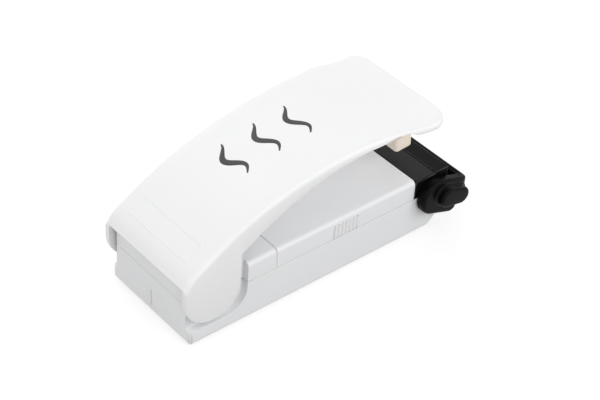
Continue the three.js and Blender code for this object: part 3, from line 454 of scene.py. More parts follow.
class Surface(Enum):
    """What gives a finish its small relief."""

    MOULDED = Effect.GRAIN
    WOVEN = Effect.WEAVE
    DRAWN = Effect.BRUSH


# ---------------------------------------------------------------- finishes

DUST = (0.55, 0.53, 0.5, 1)
FILM_ROUGHENS = 0.08
TINT_ROUGHENS = 0.05
WEAR_POLISHES = 0.12  # share of the roughness
BUMP_STRENGTH = 0.6


def empty_tree(owner: bpy.types.ID) -> Nodes:
    """Turns on a new material's or world's nodes and clears them.

    Args:
        owner: The material or world.
    Returns:
        Its node tree, to be filled.
    """
    owner.use_nodes = True
    owner.node_tree.nodes.clear()
    return Nodes(owner.node_tree)


@dataclass(frozen=True)
class Finish:
    """A real finish, from which one material is made.

    Grain is the relief's scale, or a weave's threads per metre. Relief and ease, the radius
    of its edges, are metres. Shade, film and the edge share are the shares by which the tint
    darkens the colour, the film turns it to dust and the edges turn it to the edge colour. The
    edge colour is partly real wear and, on the black mouldings, a painted highlight along the
    rims.
    """

    name: str
    colour: Triple
    roughness: float
    grain: float
    relief: float
    shade: float
    film: float
    wear: float = 0.0
    worn: Triple = (0.9, 0.9, 0.9)
    surface: Surface = Surface.MOULDED
    metallic: float = 0.0
    coat: float = 0.0
    specular: float = 0.5
    sheen: float = 0.0
    ease: float = 0.0002

    def material(self) -> bpy.types.Material:
        """The finish's material, built when first asked for.

        Returns:
            A material whose colour, roughness and normal vary over the surface.
        """
        made = bpy.data.materials.get(self.name)
        if made:
            return made
        material = bpy.data.materials.new(self.name)
        nodes = empty_tree(material)
        shader = nodes.add("ShaderNodeBsdfPrincipled", Metallic=self.metallic,
                           Coat_Weight=self.coat, Specular_IOR_Level=self.specular,
                           Sheen_Weight=self.sheen)
        place = nodes.add("ShaderNodeTexCoord").outputs["Object"]
        relief = self.effect(nodes, self.surface.value, place)
        scale = "Count" if self.surface is Surface.WOVEN else "Scale"
        relief.inputs[scale].default_value = self.grain
        grain = relief if "Tint" in relief.outputs else self.effect(nodes, Effect.GRAIN, place)
        eased = self.paint(nodes, shader, place, grain.outputs["Tint"])
        bump = nodes.add("ShaderNodeBump", Height=relief.outputs["Height"],
                         Distance=self.relief, Strength=BUMP_STRENGTH, Normal=eased)
        nodes.feed(shader.inputs["Normal"], bump.outputs[0])
        nodes.add("ShaderNodeOutputMaterial", Surface=shader.outputs[0])
        return material

    def effect(self, nodes: Nodes, effect: Effect, place: bpy.types.NodeSocket) -> bpy.types.Node:
        """Places a shared group in this material at the given coordinates."""
        return nodes.add("ShaderNodeGroup", node_tree=effect.group(), Vector=place)

    def paint(self, nodes: Nodes, shader: bpy.types.Node, place: bpy.types.NodeSocket,
              tint: bpy.types.NodeSocket) -> bpy.types.NodeSocket:
        """Feeds the shader's colour and roughness from the tint, the edges and the film; the edges'
        colour is real wear and, on the black mouldings, a painted rim highlight.

        Args:
            nodes: The material's tree.
            shader: Its Principled BSDF.
            place: Object coordinates.
            tint: The broad tint, 0 to 1.
        Returns:
            The normal of the eased edges.
        """
        edges = self.effect(nodes, Effect.WEAR_AND_HIGHLIGHT, place)
        edges.inputs["Radius"].default_value = self.ease
        wear = edges.outputs["Mask"]
        film = self.effect(nodes, Effect.FILM, place).outputs["Mask"]
        dark = tuple(channel * (1 - self.shade) for channel in self.colour)
        colour = nodes.mix(tint, (*dark, 1), (*self.colour, 1))
        colour = nodes.mix(nodes.math("MULTIPLY", film, self.film), colour, DUST)
        # Edges turn to the edge colour: real wear, and on the black mouldings a painted rim
        # highlight.
        colour = nodes.mix(nodes.math("MULTIPLY", wear, self.wear), colour, (*self.worn, 1))
        nodes.feed(shader.inputs["Base Color"], colour)
        rough = self.roughness
        for mask, change in ((film, FILM_ROUGHENS), (tint, TINT_ROUGHENS),
                             (wear, -WEAR_POLISHES * self.roughness)):
            rough = nodes.math("MULTIPLY_ADD", mask, change, rough)
        nodes.feed(shader.inputs["Roughness"], rough)
        return edges.outputs["Normal"]


WHITE = Finish("white_shell", (0.83, 0.835, 0.845), 0.36, grain=2400, relief=0.000006,
               shade=0.012, wear=0.12, worn=(0.93, 0.93, 0.93), film=0.02, ease=0.0003)
WHITE_LEVER = Finish("white_lever", (0.87, 0.872, 0.88), 0.34, grain=2200, relief=0.000005,
                     shade=0.01, wear=0.12, worn=(0.95, 0.95, 0.95), film=0.015)
# Black mouldings: their lighter edge colour is a painted highlight along the rims, over a little
# real wear.
BLACK = Finish("black_mouldings", (0.004, 0.004, 0.0044), 0.3, grain=3200, relief=0.000008,
               shade=0.25, wear=0.85, worn=(0.22, 0.22, 0.226), film=0.001, specular=0.075,
               ease=0.0003)
# The guard's lighter edge colour is a fainter painted rim highlight.
BLACK_GUARD = replace(BLACK, name="black_guard", colour=(0.0035, 0.0035, 0.0038),
                      roughness=0.27, wear=0.7, worn=(0.11, 0.11, 0.113), specular=0.06)
FILM = Finish("nonstick_film", (0.011, 0.0105, 0.01), 0.5, grain=1600, relief=0.00003,
              shade=0.3, wear=0.05, worn=(0.1, 0.1, 0.1), film=0.012, specular=0.2,
              surface=Surface.WOVEN)
CREAM = Finish("cream_silicone", (0.95, 0.84, 0.71), 0.62, grain=3600, relief=0.000015,
               shade=0.06, wear=0.08, worn=(0.88, 0.8, 0.7), film=0.04, sheen=0.1)
METAL = partial(Finish, surface=Surface.DRAWN, metallic=1.0)
ZINC = METAL("zinc_steel", (0.62, 0.63, 0.65), 0.3, grain=4200, relief=0.000008, shade=0.12,
             wear=0.4, worn=(0.8, 0.8, 0.8), film=0.05)
BRASS = METAL("rolled_brass", (0.74, 0.55, 0.25), 0.3, grain=3800, relief=0.000008, shade=0.15,
              wear=0.4, worn=(0.9, 0.72, 0.4), film=0.04)
NICHROME = METAL("resistance_ribbon", (0.42, 0.39, 0.36), 0.42, grain=5200, relief=0.000006,
                 shade=0.3, wear=0.3, worn=(0.55, 0.5, 0.45), film=0.1)
JACKET = Finish("cell_sleeve", (0.045, 0.19, 0.085), 0.28, grain=1500, relief=0.000008,
                shade=0.1, wear=0.3, worn=(0.3, 0.45, 0.3), film=0.03, coat=0.4)
RED = Finish("red_sleeve", (0.46, 0.018, 0.015), 0.42, grain=3000, relief=0.000006, shade=0.1,
             wear=0.1, worn=(0.6, 0.1, 0.1), film=0.05)
JET = replace(RED, name="black_sleeve", colour=(0.02, 0.02, 0.021), shade=0.2,
              worn=(0.12, 0.12, 0.12), film=0.04)
INK = Finish("printed_ink", (0.045, 0.043, 0.042), 0.5, grain=4500, relief=0.000004, shade=0.3,
             film=0.03)


# ---------------------------------------------------------------- pieces in Blender

NODE_CREASE = math.radians(38)
MERGE_DISTANCE = 0.000002  # metres


def link_object(name: str, data: bpy.types.ID) -> bpy.types.Object:
    """Puts a mesh, lamp or camera into the scene.

    Args:
        name: The object's name.
        data: What it shows.
    Returns:
        The new object, at the origin.
    """
    made = bpy.data.objects.new(name, data)
    bpy.context.scene.collection.objects.link(made)
    return made


def join_shells(shells: list[Shell]) -> tuple[Array, list[list[int]]]:
    """Puts shells into one list of points and one list of faces.

    Args:
        shells: Closed surfaces.
    Returns:
        All points, and every face as a list of point numbers.
    """
    faces: list[list[int]] = []
    offset = 0
    for shell in shells:
        faces += (shell.quads + offset).tolist()
        faces += [(cap + offset).tolist() for cap in shell.caps]
        offset += len(shell.points)
    return np.concatenate([shell.points for shell in shells]), faces


def make_piece(name: str, shells: list[Shell], finish: Finish, body: str,
               stands_for: tuple[str, ...] = (), crease: float = 35.0) -> bpy.types.Object:
    """Makes one shown piece from closed shells and hangs it on a body.

    Args:
        name: The piece's name.
        shells: Its closed surfaces, in metres.
        finish: What it is finished in.
        body: The body that it moves with.
        stands_for: CAD nodes that it replaces.
        crease: Edges sharper than this, in degrees, stay sharp.
    Returns:
        The new object.
    """
    points, faces = join_shells(shells)
    mesh = bpy.data.meshes.new(name)
    mesh.from_pydata(points.tolist(), [], faces)
    mesh.shade_smooth()
    mesh.set_sharp_from_angle(angle=math.radians(crease))
    mesh.materials.append(finish.material())
    piece = link_object(name, mesh)
    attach(piece, body)
    if stands_for:
        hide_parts(*stands_for)
    LOG.info("%s: %d faces", name, len(faces))
    return piece


def crease_tree() -> bpy.types.NodeTree:
    """Geometry nodes that merge loose facets and keep only the sharp edges sharp.

    Returns:
        The node tree for a modifier, built when first asked for.
    """
    name = "keep_creases"
    made = bpy.data.node_groups.get(name)
    if made:
        return made
    tree = bpy.data.node_groups.new(name, "GeometryNodeTree")
    for way in ("INPUT", "OUTPUT"):
        tree.interface.new_socket("Geometry", in_out=way, socket_type="NodeSocketGeometry")
    nodes = Nodes(tree)
    merged = nodes.add("GeometryNodeMergeByDistance", Distance=MERGE_DISTANCE,
                       Geometry=nodes.add("NodeGroupInput").outputs[0])
    smooth = nodes.add("GeometryNodeSetShadeSmooth", Geometry=merged.outputs[0],
                       Shade_Smooth=True)
    angle = nodes.add("GeometryNodeInputMeshEdgeAngle")
    sharp = nodes.add("FunctionNodeCompare", angle.outputs[0], NODE_CREASE,
                      operation="GREATER_THAN")
    keep = nodes.add("GeometryNodeSetShadeSmooth", Geometry=smooth.outputs[0], domain="EDGE",
                     Selection=sharp.outputs[0], Shade_Smooth=False)
    nodes.add("NodeGroupOutput", keep.outputs[0])
    return tree


def dress(finish: Finish, *nodes: str) -> None:
    """Gives CAD nodes a finish and smooth shading, with their flats kept flat.

    Args:
        finish: What they are finished in.
        nodes: The nodes' names.
    """
    for node in nodes:
        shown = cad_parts[node]
        shown.material_slots[0].material = finish.material()
        shown.modifiers.new("merge", "NODES").node_group = crease_tree()
        flats = shown.modifiers.new("flats", "WEIGHTED_NORMAL")
        flats.mode, flats.weight, flats.keep_sharp = "FACE_AREA", 100, True
        LOG.info("%s: dressed in %s", node, finish.name)


def numbered(stem: str, count: int) -> list[str]:
    """Names with a number after the stem, from 1 up."""
    return [f"{stem}_{number}" for number in range(1, count + 1)]


# ---------------------------------------------------------------- sub-assemblies


@dataclass
class Body:
    """The white shells with their screws, the tongues behind their seams and the grip's webs.

    Sizes are millimetres in the part's frame. A tongue is a little lower than its seam's
    gap: its half height is a share of it.
    """

    front: float = 49.2
    side: float = 19.0
    top: float = 20.9
    seam: float = 13.9
    seam_start: float = -27.1
    cap_front: float = -18.4
    cover_front: float = 35.7
    gap: float = 0.3
    tongue_share: float = 0.48
    set_back: float = 0.1
    depth: float = 0.9
    rear_half: float = 16.6
    rear_set_back: float = 0.04
    grip: Pair = (3.5, 12.9)
    grip_height: Pair = (14.4, 19.0)
    grip_proud: float = 0.17

    def dress(self) -> None:
        """Dresses the shells and the housing screws."""
        dress(WHITE, "lower_shell", "rear_cap", "battery_cover")
        dress(ZINC, *numbered("housing_screw", 4))

    def strip(self, low: Triple, high: Triple) -> Shell:
        """A closed box, as a ring of four points carried from end to end.

        Args:
            low: Its lowest corner.
            high: Its highest corner.
        Returns:
            The closed box.
        """
        (x0, y0, z0), (x1, y1, z1) = low, high
        ring = np.array([(y0, z0), (y1, z0), (y1, z1), (y0, z1)])
        rings = np.stack([np.column_stack([np.full(4, x), ring]) for x in (x0, x1)])
        return ring_shell(rings * MM)

    def on_sides(self, x: Pair, z: Pair, outer: float) -> list[Shell]:
        """The same strip in both side walls.

        Args:
            x: Its ends.
            z: Its lower and upper edge.
            outer: Distance of its outer face from the middle plane.
        Returns:
            The near and the far strip.
        """
        return [self.strip((x[0], y, z[0]), (x[1], y + self.depth, z[1]))
                for y in (-outer, outer - self.depth)]

    def build(self) -> None:
        """Builds the tongues just behind the seams, and the webs between the grip ridges."""
        far, half = self.side - self.set_back, self.tongue_share * self.gap
        low, high, roof = self.seam - half, self.seam + half, self.top - self.set_back
        x0, x1 = self.cap_front - half, self.cap_front + half
        long_seam = (self.seam_start, self.cover_front - self.gap)
        tongues = [
            *self.on_sides(long_seam, (low, high), far),
            *self.on_sides((x0, x1), (high, roof), far),
            self.strip((x0, -far + self.depth, roof - self.depth), (x1, far - self.depth, roof)),
            self.strip((-self.front + self.rear_set_back, -self.rear_half, low),
                       (-self.front + self.depth, self.rear_half, high))]
        make_piece("seam_tongues", tongues, WHITE, "base")
        webs = self.on_sides(self.grip, self.grip_height, self.side + self.grip_proud)
        make_piece("grip_webs", webs, WHITE, "cover")


@dataclass(frozen=True)
class Post:
    """A round post under the lever's roof: its place, radius, lower end and the rim's ease."""

    x: float
    y: float
    radius: float
    low: float
    ease: float = 0.3


@dataclass
class Lever:
    """The press lever: a channel that sweeps over the body, with an ear on each side.

    Sizes are millimetres in the part's frame; x runs from the rear end to the front end.
    The posts are the spring seat and its peg, the plunger and the two screw bosses. The
    numbers of sections are those over the ear, the middle and the front corner.
    """

    rear: float = -51.1
    front: float = 44.4
    rear_height: float = 21.6
    rise: float = 23.3
    ear_half: float = 19.5
    ear_inner: float = 17.7
    ear_radius: float = 9.6
    ear_x: float = -41.5
    ear_z: float = 16.2
    ear_step: float = 0.02
    sections: tuple[int, int, int] = (45, 120, 22)
    front_half: float = 21.9
    flare_power: float = 1.7
    wall: float = 1.4
    wall_least: float = 0.2
    edge: float = 1.8
    edge_share: float = 0.85
    inner_least: float = 0.05
    corner: float = 5.5
    skirt: float = 9.4
    skirt_power: float = 2.4
    lip: float = 1.5
    lip_least: float = 0.2
    lip_flare: float = 0.6
    flare_start: float = 29.8
    flare_length: float = 3.2
    notch: float = 1.0
    notch_start: float = 17.0
    notch_length: float = 8.0
    notch_end: float = 29.0
    notch_end_length: float = 2.0
    body_room: float = 21.2
    room_front: float = -28.9
    hem: float = 0.3
    hem_least: float = 0.02
    top_shares: tuple[Pair, ...] = (
        (0, 0), (0.022, 0.133), (0.069, 0.277), (0.171, 0.525), (0.271, 0.7085),
        (0.368, 0.8355), (0.462, 0.924), (0.56, 0.9815), (0.662, 1.01), (0.769, 0.991),
        (0.86, 0.941), (0.93, 0.905), (0.968, 0.9206), (1, 0.929))
    posts: tuple[Post, ...] = (
        Post(-33.2, 0, 4.6, 29.5), Post(-33.2, 0, 1.2, 27.1), Post(-23.2, 0, 1.6, 16.9),
        Post(39.15, 14, 2.6, 39.5, 0), Post(39.15, -14, 2.6, 39.5, 0))
    sink_share: float = 0.7
    ribs: tuple[float, ...] = (-16.72, -6.2, 4.3)
    rib_half: float = 19.0
    rib_section: tuple[Pair, ...] = (
        (-0.6, 0), (-0.6, -2.3), (-0.4, -2.5), (0.4, -2.5), (0.6, -2.3), (0.6, 0))
    pin_z: float = 13.9
    pin_radius: float = 2.3
    pin_length: float = 3.5
    pin_sunk: float = 0.5
    pin_ease: float = 0.3
    line: Array = field(init=False)

    def __post_init__(self) -> None:
        """Samples the top line once, as heights over x."""
        size = np.array([self.front - self.rear, self.rise])
        points = np.array([self.rear, self.rear_height]) + np.array(self.top_shares) * size
        self.line = catmull(points, 24, 0.0)

    def top(self, x: Array) -> Array:
        """Height of the top line at x, by straight steps between its samples."""
        return np.interp(x, self.line[:, 0], self.line[:, 1])

    def within_roof(self, x: Array) -> Array:
        """Height inside the roof's thickness at x, up to which the fittings reach."""
        return self.top(x) - self.sink_share * self.wall

    def stations(self) -> Array:
        """Places of the cross-sections, crowded where the outline turns quickly.

        Returns:
            x values: a cosine spacing over the ear, an even one over the middle, which starts
            a small step past the ear, and a sine spacing over the front corner.
        """
        on_ear, on_middle, on_corner = self.sections
        ear = self.ear_x - self.ear_radius * np.cos(np.linspace(0, np.pi, on_ear))
        stop = self.front - self.corner
        middle = np.linspace(ear[-1] + self.ear_step, stop, on_middle)[:-1]
        return np.concatenate([ear, middle, stop + self.corner * np.sin(quarter(on_corner))])

    def loop(self, x: Array) -> Array:
        """Closed cross-sections at many x values.

        The outer half runs up the skirt, round the edge in a quarter circle and in to the
        middle of the top; the inner half follows the underside back to the hem. The skirt's
        lower edge is the ear's half circle behind the ear's front edge, and before it a depth
        that fades by a power towards the front, less a shallow notch over the pad, and more
        under the lip.

        Args:
            x: Places along the lever, (n,).
        Returns:
            Points (n, points per loop, 3), in millimetres.
        """
        top = self.top(x)
        slope = np.gradient(top, x)
        ear_front = self.ear_x + self.ear_radius
        on_ear = x <= ear_front + TOLERANCE
        along = np.clip((x - ear_front) / (self.front - ear_front), 0, 1)
        edge = np.clip(x - (self.front - self.corner), 0, self.corner)
        half = (self.ear_half + along ** self.flare_power * (self.front_half - self.ear_half)
                - self.corner + np.sqrt(self.corner ** 2 - edge ** 2))
        depth = self.lip + (self.skirt - self.lip) * (1 - along) ** self.skirt_power
        flare = self.lip_flare * smooth_step(x, self.flare_start, self.flare_length)
        notch = self.notch * (smooth_step(x, self.notch_start, self.notch_length)
                              - smooth_step(x, self.notch_end, self.notch_end_length))
        under = top - self.wall * np.sqrt(1 + slope ** 2)
        low = np.maximum(top - depth - flare, self.ear_z)
        low = np.minimum(low, under - self.lip_least) + notch
        chord = np.sqrt(np.clip(self.ear_radius ** 2 - (x - self.ear_x) ** 2, 0, None))
        low = np.where(on_ear, self.ear_z - chord, low)
        under = np.where(x < self.room_front, np.maximum(under, self.body_room), under)
        under = np.minimum(under, top - self.wall_least)
        rounded = self.edge_share * np.minimum(top - low, np.maximum(depth, self.wall))
        radius = np.minimum(self.edge, rounded)
        wall = np.where(on_ear, half - self.ear_inner, self.wall)
        inner = np.minimum(radius, np.maximum(under - low, self.inner_least)) / 2
        return self.ring(x, half, top, under, low, radius, wall, inner)

    def ring(self, x: Array, half: Array, top: Array, under: Array, low: Array, radius: Array,
             wall: Array, inner: Array) -> Array:
        """Joins the outer and the inner line of each section into one closed ring.

        Each line is a quarter circle at the hem, a quarter circle at the edge and even steps
        to the middle; the far side mirrors the near one.

        Args:
            x: Places along the lever.
            half: Half width there.
            top: Top height.
            under: Height of the underside.
            low: Height of the skirt's lower edge.
            radius: Radius of the top edge.
            wall: Thickness of the skirt.
            inner: Radius inside the skirt.
        Returns:
            Points (n, points per ring, 3).
        """
        hem = np.minimum(self.hem, (under - low) / 3)
        hem = np.minimum(np.maximum(hem, self.hem_least), wall / 3)
        fall, rise = (share[:, None] for share in rounding(4))
        edge_fall, edge_rise = (share[:, None] for share in rounding(9))
        hem_y, hem_z = hem * fall, low + hem * rise
        oy = np.concatenate([half - hem_y, half - radius * edge_rise,
                             (half - radius) * np.linspace(1, 0, 7)[1:, None]])
        oz = np.concatenate([hem_z, top - radius * edge_fall, np.broadcast_to(top, (6, len(x)))])
        iy = np.concatenate([half - wall + hem_y, half - wall - inner * rise,
                             (half - wall - inner) * np.linspace(1, 0, 5)[1:, None]])
        iz = np.concatenate([hem_z, under - inner * fall, np.broadcast_to(under, (4, len(x)))])
        y = np.concatenate([oy, -oy[-2::-1], -iy, iy[-2::-1]])
        z = np.concatenate([oz, oz[-2::-1], iz, iz[-2::-1]])
        return np.stack([np.broadcast_to(x, y.shape), y, z], axis=-1).transpose(1, 0, 2)

    def post(self, post: Post) -> Shell:
        """A post that hangs from the roof, with its upper end on the roof's slope.

        Args:
            post: Its place and sizes.
        Returns:
            The closed post.
        """
        roof = float(self.within_roof(post.x))
        rod = rod_shell((post.x, post.y, roof), 2, post.low - roof, post.radius, post.ease)
        upper = rod.points[:, 2] >= (roof - TOLERANCE) * MM
        follow = self.within_roof(rod.points[:, 0] / MM) * MM
        rod.points[:, 2] = np.where(upper, follow, rod.points[:, 2])
        return rod

    def hinge_pin(self, side: int) -> Shell:
        """The pin that runs inwards from the ear on one side, into the body."""
        start = (self.ear_x, side * (self.ear_inner + self.pin_sunk), self.pin_z)
        return rod_shell(start, 1, -side * self.pin_length, self.pin_radius, self.pin_ease)

    def rib(self, x: float) -> Shell:
        """A thin rib across the underside: an eased section drawn from side to side.

        Args:
            x: Its place along the lever.
        Returns:
            The closed rib.
        """
        section = np.array(self.rib_section)
        rings = np.zeros((2, len(section), 3))
        rings[..., 0] = x + section[:, 0]
        rings[..., 1] = np.array([-self.rib_half, self.rib_half])[:, None]
        rings[..., 2] = float(self.within_roof(x)) + section[:, 1]
        return ring_shell(rings * MM)

    def build(self) -> None:
        """Builds the lever with all that hangs under it, as one moulding."""
        shells = [ring_shell(self.loop(self.stations()) * MM)]
        shells += [self.post(post) for post in self.posts]
        shells += [self.hinge_pin(side) for side in (-1, 1)]
        shells += [self.rib(x) for x in self.ribs]
        make_piece("lever_moulding", shells, WHITE_LEVER, "lever",
                   ("press_lever",))


@dataclass
class Marks:
    """The marks on the lever's top: an empty raised label frame and three printed heat lines.

    Sizes are millimetres in the part's frame. Sink and proud are how far a mark reaches
    below and above the surface.
    """

    lever: Lever
    label_low: Pair = (-46.8, -14.0)
    label_high: Pair = (-41.5, 14.0)
    label_corner: float = 0.8
    label_half_line: float = 0.26
    label_sink: float = 0.1
    label_proud: float = 0.06
    heat_x: tuple[float, ...] = (-19.2, -7.7, 3.8)
    heat_start: float = -5
    heat_length: float = 14.5
    heat_hairline: float = 0.22
    heat_swell: float = 0.78
    heat_swell_power: float = 1.2
    heat_sway: float = 1.7
    heat_half_waves: float = 2.5
    heat_sink: float = 0.06
    heat_proud: float = 0.03
    label_samples: int = 260
    heat_samples: int = 140

    def on_top(self, path: Array, half: Array, sink: float, proud: float) -> Shell:
        """A low strip that follows a path over the lever's top.

        Its section is a flat bar whose upper corners are eased; each of its points takes the
        height of the top line under it.

        Args:
            path: Points (x, y) of the centre line.
            half: Half width at each point.
            sink: Depth below the surface.
            proud: Height above it.
        Returns:
            The closed strip.
        """
        tangent = unit(np.gradient(path, axis=0))
        across = np.stack([-tangent[:, 1], tangent[:, 0]], axis=1)
        flat, eased = 0.8, 0.4 * proud
        section = np.array([(-1, -sink), (-1, eased), (-flat, proud), (0, proud),
                            (flat, proud), (1, eased), (1, -sink), (0, -sink)])
        plan = path[:, None] + across[:, None] * (half[:, None] * section[:, 0])[..., None]
        height = self.lever.top(plan[..., 0]) + section[:, 1]
        return ring_shell(np.concatenate([plan, height[..., None]], axis=-1) * MM)

    def label_frame(self) -> Shell:
        """The faint empty frame near the rear end: a raised line round a rounded rectangle.

        The line is sampled at even distances along the outline.

        Returns:
            The closed line, which overlaps itself where it starts.
        """
        outline = rounded_rectangle(self.label_low, self.label_high, self.label_corner, 6)
        first = outline[:1]
        route = np.concatenate([outline, first, first + [[-TOLERANCE, TOLERANCE]]])
        steps = np.linalg.norm(np.diff(route, axis=0), axis=1)
        length = np.concatenate([[0], np.cumsum(steps)])
        even = np.linspace(0, length[-1], self.label_samples)
        path = np.stack([np.interp(even, length, route[:, k]) for k in (0, 1)], axis=1)
        half = np.full(len(path), self.label_half_line)
        return self.on_top(path, half, self.label_sink, self.label_proud)

    def heat_lines(self) -> list[Shell]:
        """Three wavy lines that rise like warm air, each thin at its ends.

        A line runs along y while x sways by a sine, and its width swells from a hairline at
        both ends to its full width in the middle by a power of a half sine.

        Returns:
            One closed strip for each line.
        """
        share = np.linspace(0, 1, self.heat_samples)
        y = self.heat_start + self.heat_length * share
        half = self.heat_hairline + self.heat_swell * np.sin(np.pi * share) ** self.heat_swell_power
        sway = self.heat_sway * np.sin(self.heat_half_waves * np.pi * share)
        return [self.on_top(np.stack([x + sway, y], axis=1), half, self.heat_sink,
                            self.heat_proud) for x in self.heat_x]

    def build(self) -> None:
        """Builds the label frame and the heat lines."""
        make_piece("lever_label_frame", [self.label_frame()], WHITE_LEVER, "lever")
        make_piece("lever_heat_lines", self.heat_lines(), INK, "lever",
                   crease=60)


@dataclass
class Jaw:
    """The heated head with its ribbon, and the pad with its carrier above it.

    Sizes are millimetres in the part's frame, with the pad where it lies when pressed.
    """

    pad_width: float = 6.4
    pad_length: float = 19.5
    pad_height: float = 5.0
    pad_corner: float = 0.9
    pad_x: float = 39.15
    pad_face: float = 21.2
    pad_ease: float = 0.5
    pad_back_share: float = 0.5
    hinge_x: float = -41.5
    hinge_z: float = 13.9
    swing: float = math.radians(3.75)

    def dress(self) -> None:
        """Dresses the head, its film, ribbon and terminals, and the carrier with its screws."""
        dress(BLACK, "heater_head")
        dress(FILM, "heater_film")
        dress(NICHROME, "heating_ribbon")
        dress(BRASS, *numbered("ribbon_terminal", 2))
        dress(ZINC, *numbered("carrier_screw", 2))
        dress(WHITE_LEVER, "pad_carrier")

    def pad(self) -> Shell:
        """The pad: a rounded rectangle carried upwards and drawn in at both ends.

        The rings shrink by a quarter circle towards the pressing face, and by a smaller one
        towards the back. The block leans with the open lever.

        Returns:
            The closed pad.
        """
        (fall, rise), back = rounding(6), self.pad_ease * self.pad_back_share
        inset = np.concatenate([self.pad_ease * fall, back * rise])
        level = np.concatenate([self.pad_ease * rise, self.pad_height - back * fall])
        rings = []
        for draw, up in zip(inset, level):
            x, y = self.pad_width / 2 - draw, self.pad_length / 2 - draw
            flat = rounded_rectangle((-x, -y), (x, y), self.pad_corner, 7)
            rings.append(np.column_stack([flat, np.full(len(flat), up)]))
        block = np.array(rings) + np.array([self.pad_x, 0, self.pad_face])
        return ring_shell(self.opened(block) * MM)

    def opened(self, points: Array) -> Array:
        """Points turned about the hinge from the pressed place to the open place.

        Args:
            points: Points (..., 3) in millimetres.
        Returns:
            The turned points.
        """
        x, z = points[..., 0] - self.hinge_x, points[..., 2] - self.hinge_z
        turned_x = x * math.cos(self.swing) - z * math.sin(self.swing)
        turned_z = x * math.sin(self.swing) + z * math.cos(self.swing)
        return np.stack([turned_x + self.hinge_x, points[..., 1], turned_z + self.hinge_z],
                        axis=-1)

    def build(self) -> None:
        """Builds the silicone pad."""
        make_piece("pad_block", [self.pad()], CREAM, "lever", ("silicone_pad",),
                   crease=50)


